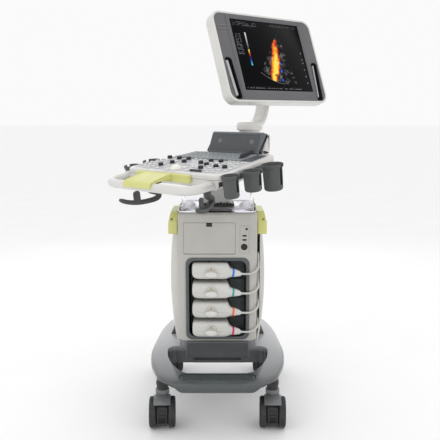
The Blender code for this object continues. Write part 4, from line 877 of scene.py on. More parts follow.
# ---------------------------------------------------------------- tray and column
def make_tray_and_column():
    def wall_top(y):
        return 0.7795 + 0.0275 * ease(y, -0.095, 0.015)

    def outline(inset):
        return rect(inset - 0.140, 0.140 - inset, inset - 0.133, 0.195 - inset, 0.028 - 0.5 * inset, 12)

    def at_top(inset, drop):
        return [Vector((x, y, wall_top(y) - drop)) for x, y in outline(inset)]

    hole = centred_rect(0.066, 0.056, 0.020, (0.0, COLUMN_Y), 12)
    rings = [on_xy(outline(0.0015), 0.7633), on_xy(outline(0.0), 0.7645), on_xy(outline(0.0), 0.7740),
             on_xy(outline(0.0015), 0.7765), at_top(0.0050, 0.0010), at_top(0.0056, 0.0002),
             at_top(0.0066, 0.0),
             at_top(0.0076, 0.0002), at_top(0.0082, 0.0012), on_xy(outline(0.0090), 0.7685),
             on_xy(outline(0.0105), 0.7663), on_xy(hole, 0.7663), on_xy(grown(hole, -0.0010), 0.7655),
             on_xy(grown(hole, -0.0010), 0.7641), on_xy(hole, 0.7633)]
    piece("clear_storage_tray", skin(rings, loop=True), CLEAR, "chassis", cad=["storage_tray"],
          smooth=45.0)

    def sleeve(grow):
        return centred_rect(0.0555 + grow, 0.0455 + grow, 0.018 + grow, (0.0, COLUMN_Y), 10)

    levels = [(0.0045, 0.2630), (0.0045, 0.7640), (0.0070, 0.7642), (0.0075, 0.7650), (0.0075, 0.7730),
              (0.0066, 0.7750), (0.0050, 0.7755), (0.0010, 0.7755), (0.0006, 0.7750), (0.0006, 0.2630)]
    bm = skin([on_xy(sleeve(grow), z) for grow, z in levels], loop=True)
    for k in range(9):
        x = -0.048 + 0.012 * k
        slab((x - 0.0032, COLUMN_Y - 0.0535, 0.7745),
             (x + 0.0032, COLUMN_Y - 0.0466, 0.7790 + 0.0035 * (k % 2)),
             0.0012, bm, soft=0.0008)
    piece("column_guide_sleeve", bm, BLACK, "chassis", cad=["column_sleeve"],
          bevel=0.0003)

    levels = [(-0.0008, 0.4200), (0.0, 0.4208)] + [(0.0, 0.44 + 0.05 * k) for k in range(8)]
    levels += [(0.0, 0.8300), (-0.0012, 0.8308), (-0.0012, 0.8318), (0.0, 0.8326), (0.0, 0.8478),
               (-0.0007, 0.8485)]
    bm = carve(skin([on_xy(sleeve(grow), z) for grow, z in levels]),
               *[("DIFFERENCE", slab((x - 0.0012, COLUMN_Y - 0.060, 0.40),
                                     (x + 0.0012, COLUMN_Y - 0.0449, 0.829),
                                     0.0005)) for x in (-0.034, 0.034)])
    piece("lift_column_profile", bm, COLUMN, "lift_column", cad=["lift_column"],
          bevel=0.0004, smooth=30.0)


# ---------------------------------------------------------------- console
def console_outline(inset, steps=12):
    front, rear, half = 0.253 - inset, 0.192 - inset, 0.187 - inset
    corners = [(-front, -half), (front, -half), (rear, half), (-rear, half)]
    return rounded_outline(corners, [0.045, 0.045, 0.034, 0.034], steps)


def console_side_x(y):
    return 0.253 - 0.061 * (y + 0.187) / 0.374


def make_console_shells():
    levels = [(0.0016, -0.0178), (0.0006, -0.0172), (0.0, -0.0160), (0.0, -0.0060), (0.0004, -0.0042),
              (0.0014, -0.0022), (0.0030, -0.0009), (0.0055, -0.0002), (0.0090, 0.0)]
    pocket = rounded_outline([(-0.1992, 0.0270), (0.1532, 0.0270), (0.1430, 0.1460), (-0.1830, 0.1460)],
                             [0.007] * 4, 6)
    panel = console_outline(0.0145)
    bm = carve(skin([on_xy(console_outline(inset), z) for inset, z in levels]),
               ("DIFFERENCE", skin([on_xy(panel, -0.0016), on_xy(grown(panel, 0.0004), 0.010)])),
               ("DIFFERENCE", prism(on_xy, pocket, -0.0080, 0.010)),
               ("DIFFERENCE", lathe([(-0.05, 0.0475), (0.05, 0.0475)], "z", (-0.020, -0.135, 0.0), 64)))
    piece("console_rim", bm, WHITE, "console", CONSOLE, ["console_top_cover"], bevel=0.0005,
          smooth=30.0)
    bm = carve(skin([on_xy(console_outline(0.0152), -0.0090), on_xy(console_outline(0.0152), -0.0006),
                     on_xy(console_outline(0.0160), 0.0001)]),
               ("DIFFERENCE", prism(on_xy, grown(pocket, 0.0004), -0.0200, 0.010)),
               ("DIFFERENCE", lathe([(-0.05, 0.0480), (0.05, 0.0480)], "z", (-0.020, -0.135, 0.0), 64)))
    piece("control_panel_plate", bm, PANEL, "console", CONSOLE, bevel=0.0003,
          smooth=30.0)
    levels = [((0.0800, 0.0650, 0.033), -0.0860), ((0.0850, 0.0700, 0.035), -0.0852),
              ((0.1000, 0.0820, 0.037), -0.0780), ((0.1350, 0.1050, 0.040), -0.0570)]
    rings = [on_xy(centred_rect(a, b, r, (0.0, 0.045), 12), z) for (a, b, r), z in levels]
    rings += [on_xy(console_outline(inset), z) for inset, z in
              ((0.0300, -0.0530), (0.0190, -0.0508), (0.0110, -0.0470), (0.0055, -0.0420), (0.0022, -0.0370),
               (0.0008, -0.0320), (0.0006, -0.0192), (0.0016, -0.0186), (0.0060, -0.0186), (0.0060, -0.0310),
               (0.0140, -0.0430), (0.0340, -0.0490))]
    rings += [on_xy(centred_rect(a, b, r, (0.0, 0.045), 12), z) for (a, b, r), z in
              (((0.1300, 0.1000, 0.035), -0.0520), ((0.0800, 0.0650, 0.030), -0.0800))]
    bm = carve(skin(rings), ("UNION", slab((-0.0450, 0.1500, -0.0500), (0.0450, 0.2700, -0.0187), 0.012,
                                           soft=0.004)),
               *[("DIFFERENCE", slab((x, -0.006, -0.0925), (x + 0.005, 0.096, -0.0845), 0.002))
                 for x in [-0.060 + 0.012 * k for k in range(10)]])
    piece("console_belly", bm, WHITE, "console", CONSOLE, ["console_lower_shell"],
          bevel=0.0008, smooth=30.0)
    centre = (0.0, COLUMN_Y, 0.0)
    bm = lathe([(0.8488, 0.0490), (0.8498, 0.0500), (0.8660, 0.0500), (0.8700, 0.0480)], "z", centre, 64)
    piece("console_swivel_boss", bm, WHITE, "console")
    neck = (ARM_AXIS.x, ARM_AXIS.y, 0.0)
    bm = lathe([(0.9200, 0.0270), (0.9240, 0.0270), (1.0200, 0.0270), (1.0280, 0.0280), (1.0330, 0.0310),
                (1.0355, 0.0360), (1.0362, 0.0415), (1.0372, 0.0425), (1.0432, 0.0425), (1.0446, 0.0415)],
               "z", neck, 64)
    lathe([(0.9820, 0.0272), (0.9825, 0.0276), (0.9860, 0.0276), (0.9865, 0.0272)], "z", neck, 64, bm)
    piece("arm_neck_post", bm, WHITE, "console")


def handle_path():
    half, front_y, corner, shift = 0.226, -0.2845, 0.060, -0.025
    route = [(-half + shift, -0.158, -0.036), (-half + shift, front_y + corner, -0.036)]
    for k in range(1, 12):
        a = math.radians(90.0 * k / 12)
        route.append((-half + corner * (1 - math.cos(a)) + shift, front_y + corner * (1 - math.sin(a)),
                      -0.036))
    route += [(-half + corner + shift + 0.02 * k, front_y, -0.036) for k in range(17)]
    route.append((half - corner + shift, front_y, -0.036))
    for k in range(1, 12):
        a = math.radians(90.0 * k / 12)
        route.append((half - corner * (1 - math.sin(a)) + shift, front_y + corner * (1 - math.cos(a)),
                      -0.036))
    route += [(half + shift, front_y + corner, -0.036), (half + shift, -0.168, -0.036)]
    return [Vector(p) for p in route]


def make_console_front():
    bar = skin(sweep(handle_path(), lambda t: circle(0.016, count=32)))
    bm = carve(bar, ("DIFFERENCE", prism(on_xy, console_outline(-0.0004), -0.080, 0.020)))
    piece("front_grab_bar", bm, WHITE, "console", CONSOLE, ["front_handle"], smooth=45.0)
    bm = bmesh.new()
    for x in (-0.251, 0.201):
        y = -0.176
        lathe([(y - 0.003, 0.0185), (y - 0.0022, 0.0196), (y + 0.0015, 0.0200), (y + 0.006, 0.0200)], "y",
              (x, 0.0, -0.036), 40, bm)
    piece("grab_bar_collars", bm, WHITE, "console", CONSOLE)

    stem = [(-0.1885, -0.0050), (-0.2300, -0.0072), (-0.2650, -0.0110), (-0.2850, -0.0136),
            (-0.2960, -0.0160), (-0.3022, -0.0200), (-0.3050, -0.0260), (-0.3058, -0.0310),
            (-0.3057, -0.0352), (-0.3047, -0.0364), (-0.3027, -0.0362), (-0.3019, -0.0320),
            (-0.3010, -0.0275), (-0.2985, -0.0220), (-0.2940, -0.0196), (-0.2840, -0.0186),
            (-0.2720, -0.0185), (-0.2150, -0.0200), (-0.1885, -0.0260)]
    widths = [(-0.1170, 0.0020), (-0.1162, 0.0006), (-0.1140, 0.0)]
    stations = (widths + [(-0.10 + 0.02 * k, 0.0) for k in range(6)]
                + [(0.0200, 0.0), (0.0222, 0.0006), (0.0230, 0.0020)])
    rings = [on_yz(grown(stem, inset), x) for x, inset in stations]
    bm = skin(rings)
    cross = []
    for x, inset in ((-0.1690, 0.0040), (-0.1682, 0.0018), (-0.1665, 0.0005), (-0.1640, 0.0), (0.1050, 0.0),
                     (0.1075, 0.0005), (0.1092, 0.0018), (0.1100, 0.0040)):
        cross.append(on_yz(rect(-0.2010 + inset, -0.1880, -0.0340 + inset, -0.0040 - inset, 0.0035, 6), x))
    bm = carve(bm, ("UNION", skin(cross)),
               ("DIFFERENCE", slab((-0.1115, -0.2130, -0.0062), (0.0175, -0.2116, 0.0), 0.0005)))
    piece("handle_bridge_moulding", bm, LIME, "console", CONSOLE, ["handle_bridge"],
          bevel=0.0010, smooth=35.0)
    rings = []
    for x, inset in ((-0.1000, 0.0014), (-0.0992, 0.0004), (-0.0980, 0.0), (-0.0170, 0.0), (-0.0158, 0.0004),
                     (-0.0150, 0.0014)):
        rings.append(on_yz(rect(-0.2570 + inset, -0.2150, -0.0360 + inset, -0.0300 - inset, 0.0024, 6), x))
    bm = skin(rings)
    for k in range(6):
        y = -0.2550 + 0.0035 * k
        slab((-0.0920, y, -0.0370), (-0.0230, y + 0.0015, -0.0358), 0.0006, bm)
    piece("release_paddle", bm, DARK, "release_lever", CONSOLE, ["release_lever"],
          smooth=45.0)


def key_shape(bm, x, y, half_x, half_y, low, high, radius, index=0, dish=0.0, turn=0.0):
    """Button with a chamfered, slightly dished top."""
    spin = Matrix.Rotation(turn, 3, "Z")
    rings = []
    soft = min(0.0012, 0.4 * min(half_x, half_y))
    for inset, z in ((0.0, low), (0.0, high - soft), (0.3 * soft, high - 0.3 * soft), (soft, high),
                     (soft + 0.35 * min(half_x, half_y), high - dish)):
        rings.append([spin @ p + Vector((x, y, 0.0)) for p in
                      on_xy(centred_rect(half_x - inset, half_y - inset, max(radius - inset, 0.0003),
                                         steps=4), z)])
    skin(rings, bm=bm, index=index)


def make_keyboard():
    plate = rounded_outline([(-0.2075, 0.0280), (0.1520, 0.0280), (0.1420, 0.1450), (-0.1915, 0.1450)],
                            [0.007] * 4, 8)
    bm = skin([on_xy(plate, -0.0077), on_xy(plate, 0.0002), on_xy(grown(plate, -0.0008), 0.0010)])
    rows = 6
    for row in range(rows):
        y = 0.0375 + 0.0186 * row
        left = -0.2030 + 0.016 * (y - 0.028) / 0.117
        right = 0.1475 - 0.010 * (y - 0.028) / 0.117
        if row == 0:
            widths = [1.5, 1.2, 1.2, 6.2, 1.2, 1.2, 1.2, 1.0, 1.0]
        elif row == rows - 1:
            widths = [1.1] + [0.98] * 14
        else:
            widths = [1.2 + 0.25 * row] + [1.0] * 12 + [2.2 - 0.25 * row]
        unit = (right - left) / sum(widths)
        x = left
        for width in widths:
            half = 0.5 * unit * width - 0.0017
            height = 0.0042 + 0.0004 * abs(row - 2)
            key_shape(bm, x + 0.5 * unit * width, y, half, 0.0073 if row < rows - 1 else 0.0060, 0.0, height,
                      0.0018, 1, 0.0007)
            x += unit * width
    deck = rounded_outline([(0.1560, 0.0330), (0.1960, 0.0330), (0.1790, 0.1450), (0.1465, 0.1450)],
                           [0.006] * 4, 8)
    skin([on_xy(deck, 0.0001), on_xy(deck, 0.0008), on_xy(grown(deck, -0.0008), 0.0013)], bm=bm)
    piece("keyboard_keys", bm, [KEY_DECK, KEYS], "console", CONSOLE, ["keyboard"], smooth=40.0)


KNOB_SPOTS = [(-0.199, 0.003), (-0.143, 0.001), (-0.092, 0.002), (-0.122, -0.116), (-0.109, -0.069),
              (-0.068, -0.046), (0.035, -0.006), (0.083, -0.004), (0.020, -0.045), (0.067, -0.064),
              (0.130, -0.082), (0.174, -0.084), (0.089, -0.117)]


def make_controls():
    bm = bmesh.new()
    for x, y in KNOB_SPOTS:
        lathe([(0.0, 0.0112), (0.0012, 0.0112), (0.0018, 0.0104)], "z", (x, y, 0.0), 36, bm, 1)
        rings = []
        for z, r in ((0.0015, 0.0092), (0.0030, 0.0096), (0.0100, 0.0091), (0.0115, 0.0087), (0.0124, 0.0076),
                     (0.0127, 0.0055), (0.0122, 0.0030)):
            ring = []
            for k in range(48):
                a = 2.0 * math.pi * k / 48
                grip = 1.0 - 0.035 * (k % 4 == 0) * (z < 0.0117)
                ring.append(Vector((x + r * grip * math.cos(a), y + r * grip * math.sin(a), z)))
            rings.append(ring)
        skin(rings, bm=bm)
        slab((x - 0.0006, y + 0.0022, 0.0120), (x + 0.0006, y + 0.0072, 0.0130), 0.0004, bm, 2)
    piece("panel_knobs", bm, [KNOB, SEAM_GREY_AND_PAINTED_SHADOW, PLUG], "console", CONSOLE, smooth=50.0)

    bm = bmesh.new()
    ball = Vector(TRACKBALL)

    def button(x, y, half_x=0.0078, half_y=0.0048, turn=0.0, index=0):
        # The wider, low skirt at each button's foot, in the seam grey, is painted shadow round the button.
        key_shape(bm, x, y, half_x + 0.0007, half_y + 0.0007, -0.0002, 0.0009, half_y * 0.95, 1, 0.0, turn)
        key_shape(bm, x, y, half_x, half_y, 0.0004, 0.0038, half_y * 0.92, index, 0.0006, turn)

    for k, (x, y) in enumerate([(-0.222, 0.018), (-0.200, 0.021), (-0.176, 0.0185), (-0.120, 0.0165),
                                (-0.068, 0.0165), (-0.040, 0.0150), (-0.016, 0.0150), (0.008, 0.0150),
                                (0.060, 0.0170), (0.108, 0.0160), (0.130, 0.0140), (0.152, 0.0110),
                                (0.174, 0.0080), (0.196, 0.0040)]):
        button(x, y, 0.0080, 0.0042, math.radians(-4.0 * (k > 10)))
    for column in range(4):
        for row in range(5):
            x = -0.213 + 0.0300 * column - 0.003 * row
            y = -0.021 - 0.0265 * row - 0.0045 * column
            clear = min((Vector((x, y)) - Vector(k)).length for k in KNOB_SPOTS) > 0.0165
            if clear and (Vector((x, y)) - ball).length > 0.058:
                button(x, y, 0.0098, 0.0054, math.radians(-8.0))
    for column in range(6):
        for row in range(5):
            x = 0.052 + 0.0295 * column + 0.002 * row
            y = -0.026 - 0.0265 * row + 0.0030 * column
            clear = min((Vector((x, y)) - Vector(k)).length for k in KNOB_SPOTS) > 0.0170
            if clear and (Vector((x, y)) - ball).length > 0.060 and x < console_side_x(y) - 0.028 \
                    and abs(y + 0.154) > 0.012:
                button(x, y, 0.0098, 0.0054, math.radians(7.0))
    for k in range(7):
        angle = math.radians(28.0 + 20.5 * k)
        reach = 0.0625
        button(ball.x + reach * math.cos(angle), ball.y + reach * math.sin(angle), 0.0078, 0.0052,
               angle - math.pi / 2)
    for x, y in ((-0.165, -0.158), (-0.140, -0.162), (-0.096, -0.160), (0.058, -0.158), (0.150, -0.150),
                 (0.176, -0.146)):
        button(x, y, 0.0090, 0.0052)
    piece("panel_buttons", bm, [BUTTON, SEAM_GREY_AND_PAINTED_SHADOW], "console", CONSOLE, smooth=40.0)

    bm = bmesh.new()
    key_shape(bm, 0.100, -0.154, 0.0280, 0.0052, -0.0002, 0.0060, 0.0048, 0, 0.0010)
    for k in range(8):
        t = k / 7
        x, y = 0.122 - 0.015 * t, 0.061 + 0.084 * t
        slab((x - 0.015, y - 0.0009, 0.0040), (x + 0.015, y + 0.0009, 0.0050), 0.0004, bm, 1)
        fin = slab((-0.0030, -0.0016, -0.0085), (0.0030, 0.0016, 0.0085), 0.0008, soft=0.0005)
        bmesh.ops.transform(fin, matrix=Matrix.Translation((x, y, 0.0115))
                            @ Matrix.Rotation(math.radians(-24.0), 4, "X"), verts=fin.verts)
        merge(bm, fin)
    piece("gain_sliders_and_bar_key", bm, [KNOB, BLACK], "console", CONSOLE)


def make_trackball():
    centre = (*TRACKBALL, 0.0)
    bm = lathe([(-0.0180, 0.0474), (0.0004, 0.0474), (0.0016, 0.0468), (0.0024, 0.0452), (0.0026, 0.0430),
                (0.0020, 0.0395), (0.0006, 0.0350), (-0.0006, 0.0310), (-0.0010, 0.0285), (-0.0020, 0.0268),
                (-0.0180, 0.0268)], "z", centre, 72, loop=True)
    lathe([(0.0014, 0.0440), (0.0030, 0.0432), (0.0030, 0.0420), (0.0014, 0.0412)], "z", centre, 72, bm, 1,
          loop=True)
    ring_grey = surface("trackball_ring", (0.60, 0.59, 0.57), 0.35, coat=0.2)
    piece("trackball_ring", bm, [ring_grey, SEAM_GREY_AND_PAINTED_SHADOW], "console", CONSOLE,
          smooth=45.0)
    bm = lathe([(-0.0182, 0.0470), (-0.0150, 0.0470), (-0.0150, 0.0261), (-0.0182, 0.0261)], "z", centre, 40,
               loop=True)
    piece("trackball_well_floor", bm, BLACK, "console", CONSOLE)
    bm = bmesh.new()
    bmesh.ops.create_uvsphere(bm, u_segments=64, v_segments=40, radius=0.0255)
    piece("trackball_sphere", bm, BALL, "trackball", CONSOLE @ Matrix.Translation((*TRACKBALL, -0.012)),
          ["trackball"])


def make_speaker():
    front = rounded_outline([(0.1480, 0.0006), (0.1750, 0.0006), (0.2160, 0.0692), (0.1930, 0.0800)],
                            [0.004, 0.0006, 0.0006, 0.008], 8)
    rear = rounded_outline([(0.1753, 0.0006), (0.1880, 0.0006), (0.1892, -0.0100), (0.2200, -0.0100),
                            (0.2355, 0.0600), (0.2163, 0.0691)],
                           [0.0006, 0.0005, 0.0005, 0.007, 0.010, 0.0006], 8)
    stations = [(-0.1355, 0.0085), (-0.1350, 0.0064), (-0.1335, 0.0038), (-0.1310, 0.0017), (-0.1285, 0.0005),
                (-0.1255, 0.0)]
    stations += [(-x, inset) for x, inset in reversed(stations)]
    bm = skin([on_yz(grown(front, -inset), x) for x, inset in stations])
    skin([on_yz(grown(rear, -inset), 0.996 * x) for x, inset in stations], bm=bm, index=1)
    piece("speaker_housing", bm, [SPEAKER, WHITE], "console", CONSOLE, ["speaker_box"],
          smooth=40.0)

    def on_front(outline, lift):
        """Outline in (x, height up the slanted front) raised off the front face."""
        low, high = Vector((0.1480, 0.0006)), Vector((0.1930, 0.0800))
        along = (high - low).normalized()
        normal = Vector((-along.y, along.x))
        return [Vector((x, low.x + along.x * s + normal.x * lift, low.y + along.y * s + normal.y * lift))
                for x, s in outline]

    frame_edge = rect(-0.1290, 0.1290, 0.0045, 0.0850, 0.010, 8)
    cloth_edge = rect(-0.1235, 0.1235, 0.0095, 0.0800, 0.007, 8)
    bm = skin([on_front(frame_edge, -0.002), on_front(frame_edge, 0.0008),
               on_front(grown(frame_edge, -0.0010), 0.0016), on_front(grown(cloth_edge, 0.0008), 0.0016),
               on_front(cloth_edge, 0.0006), on_front(cloth_edge, -0.002)],
              loop=True)
    piece("speaker_frame", bm, SPEAKER, "console", CONSOLE, smooth=40.0)
    rings = [on_front(rect(-0.1233 + i, 0.1233 - i, 0.0097 + i, 0.0798 - i, 0.007, 8), lift)
             for i, lift in ((0.0, -0.001), (0.0, 0.0004), (0.0020, 0.0009), (0.020, 0.0014))]
    piece("speaker_cloth", skin(rings), GRILLE, "console", CONSOLE, smooth=40.0)


# ---------------------------------------------------------------- cups and hooks
CUPS = {"cup_right_front": (0.284, -0.180, 0.004, 0.031, 0.076, 10.0),
        "cup_right_middle": (0.2825, -0.068, -0.003, 0.0355, 0.072, 10.0),
        "cup_right_rear": (0.2800, 0.045, -0.004, 0.040, 0.094, 10.0),
        "cup_left_front": (-0.284, -0.125, -0.005, 0.031, 0.060, 170.0),
        "cup_left_rear": (-0.281, -0.025, -0.005, 0.0355, 0.060, 170.0)}


def make_cup(name):
    x, y, rim_z, r, height, slot_angle = CUPS[name]
    profile = [(-height, r * 0.66), (-height, r * 0.70), (-height + 0.0015, r * 0.765),
               (-height + 0.0060, r * 0.84), (-0.5 * height, 0.5 * (r * 0.84 + r - 0.004)),
               (-0.0150, r - 0.0044), (-0.0122, r - 0.0040), (-0.0112, r - 0.0012), (-0.0100, r - 0.0004),
               (-0.0015, r + 0.0002), (-0.0004, r - 0.0004), (0.0, r - 0.0014), (0.0, r - 0.0036),
               (-0.0006, r - 0.0045), (-0.0030, r - 0.0055), (-0.0120, r - 0.0075),
               (-0.5 * height, 0.5 * (r * 0.84 + r - 0.004) - 0.003), (-height + 0.0090, r * 0.84 - 0.003),
               (-height + 0.0040, r * 0.78 - 0.003), (-height + 0.003, r * 0.66)]
    solid = lathe(profile, "z", count=64)
    slot = slab((r * 0.45, -r * 0.22, -height + 0.020), (r * 1.4, r * 0.22, 0.020), 0.001)
    bmesh.ops.rotate(slot, cent=(0, 0, 0), matrix=Matrix.Rotation(math.radians(slot_angle), 3, "Z"),
                     verts=slot.verts)
    side = math.copysign(1.0, x)
    reach = abs(x) - console_side_x(y) - 0.0012
    low_x, high_x = sorted((-side * reach, -side * (r - 0.0065)))
    tab = slab((low_x, -0.012, -0.031 - rim_z), (high_x, 0.012, -0.0195 - rim_z), 0.0015, soft=0.001)
    at = CONSOLE @ Matrix.Translation((x, y, rim_z))
    bm = carve(solid, ("DIFFERENCE", slot), ("UNION", tab))
    piece(f"{name}_holder", bm, CUP_GREY, "console", at, [name], bevel=0.0006, smooth=32.0)
    wall_x = side * console_side_x(y)
    low_x, high_x = sorted((wall_x + side * 0.0008, wall_x + side * 0.0034))
    bm = slab((low_x, y - 0.026, -0.0345), (high_x, y + 0.026, -0.0175), 0.001, soft=0.0008)
    piece(f"{name}_rail_clip", bm, CUP_GREY, "console", CONSOLE)


def make_hook(label, side):
    foot = Vector((-0.1720, -0.1480, 0.0) if side < 0 else (0.1253, -0.1336, 0.0))
    heading = Vector((side * 0.42, -0.907, 0.0)).normalized()
    route = [(0.000, -0.0545), (0.000, -0.0760), (-0.004, -0.0930), (-0.020, -0.1010), (-0.035, -0.1090),
             (-0.035, -0.1210), (-0.020, -0.1290), (0.012, -0.1320), (0.050, -0.1310), (0.088, -0.1225),
             (0.118, -0.1085)]
    path = smooth_path([foot + heading * s + Vector((0.0, 0.0, z)) for s, z in route], 6)
    across = Vector((-heading.y, heading.x, 0.0))
    rings = []
    for i, point in enumerate(path):
        forward = (path[min(i + 1, len(path) - 1)] - path[max(i - 1, 0)]).normalized()
        normal = across.cross(forward)
        taper = 1.0 - 0.25 * i / (len(path) - 1)
        if i > len(path) - 4:
            taper *= 1.0 - 0.22 * (i - len(path) + 4) ** 1.6 / 3.0
        rings.append([point + across * (a * taper) + normal * (b * taper)
                      for a, b in centred_rect(0.0130, 0.0108, 0.0078, steps=6)])
    leaf_root = foot + heading * 0.050
    leaf = rounded_outline([(-0.012, -0.127), (0.015, -0.127), (0.014, -0.086), (-0.012, -0.084)],
                           [0.003, 0.003, 0.010, 0.010], 6)
    prong = []
    for offset, inset in sorted([(-side * 0.0120, 0.0012), (-side * 0.0108, 0.0), (-side * 0.0032, 0.0),
                                 (-side * 0.0020, 0.0012)]):
        prong.append([leaf_root + heading * s + across * offset + Vector((0.0, 0.0, z))
                      for s, z in grown(leaf, -inset)])
    bm = carve(skin(rings), ("UNION", skin(prong)))
    piece(f"cable_hook_{label}_arm", bm, CUP_GREY, "console", CONSOLE, [f"cable_hook_{label}"],
          smooth=40.0)
    bm = slab((foot.x - 0.017, foot.y - 0.017, -0.0575), (foot.x + 0.017, foot.y + 0.017, -0.0500), 0.006,
              soft=0.002)
    piece(f"cable_hook_{label}_foot", bm, CUP_GREY, "console", CONSOLE)


# ---------------------------------------------------------------- monitor and its arm
def make_arm():
    span = KNUCKLE_AXIS - ARM_AXIS
    reach = span.length
    heading = span.normalized()
    across = Vector((heading.y, -heading.x, 0.0))
    route = [(-0.012, 1.0635), (0.020, 1.0645), (0.055, 1.0690), (0.088, 1.0900), (0.111, 1.1280),
             (reach - 0.001, 1.1750), (reach, 1.225)]
    path = smooth_path([heading * s + Vector((0.0, 0.0, z)) for s, z in route], 8)
    rings = []
    for i, point in enumerate(path):
        forward = (path[min(i + 1, len(path) - 1)] - path[max(i - 1, 0)]).normalized()
        if i == len(path) - 1:
            forward = Vector((0.0, 0.0, 1.0))
        normal = forward.cross(across)
        rings.append([point + across * a + normal * b for a,
                      b in centred_rect(0.0292, 0.0150, 0.0148, steps=8)])
    hub = lathe([(1.0452, 0.0450), (1.0458, 0.0478), (1.0475, 0.0502), (1.0500, 0.0515), (1.0530, 0.0520),
                 (1.0650, 0.0520), (1.0695, 0.0514), (1.0740, 0.0497), (1.0772, 0.0468), (1.0788, 0.0430),
                 (1.0792, 0.0380)], "z", count=72)
    bm = carve(skin(rings), ("UNION", hub),
               ("DIFFERENCE", lathe([(1.0585, 0.0512), (1.0585, 0.0530), (1.0600, 0.0530), (1.0600, 0.0512)],
                                    "z",
                                    count=72, loop=True)))
    piece("swan_arm", bm, WHITE, "monitor_arm", ARM, ["monitor_arm"], smooth=40.0,
          bevel=0.0005)


def make_knuckle():
    bm = lathe([(1.2255, 0.0175), (1.2260, 0.0188), (1.2275, 0.0190), (1.2420, 0.0190), (1.2500, 0.0175),
                (1.2520, 0.0150)], "z", count=48)
    barrel = [(-0.0240, 0.0150), (-0.0235, 0.0162), (-0.0225, 0.0165), (-0.0080, 0.0165), (-0.0075, 0.0160),
              (0.0075, 0.0160), (0.0080, 0.0165), (0.0225, 0.0165), (0.0235, 0.0162), (0.0240, 0.0150)]
    lathe(barrel, "x", (0.0, 0.0, TILT_AXIS_Z), 48, bm)
    piece("tilt_knuckle", bm, DARK, "monitor_knuckle", KNUCKLE, ["monitor_knuckle"],
          smooth=45.0)


def housing(inset, y, radius, steps=12):
    return on_xz(centred_rect(0.2605 - inset, 0.1815 - inset, radius, (-0.0075, -0.0115), steps), y)


def grip_ends(side):
    return (-0.2395, -0.2275) if side < 0 else (0.2240, 0.2120)


def grip_outline(side, grow=0.0):
    x_top, x_low = grip_ends(side)
    half = 0.0170 + grow
    return rounded_outline([(x_low - half, -0.1860 - grow), (x_low + half, -0.1860 - grow),
                            (x_top + half, -0.0180 + grow), (x_top - half, -0.0180 + grow)], [0.011] * 4, 10)


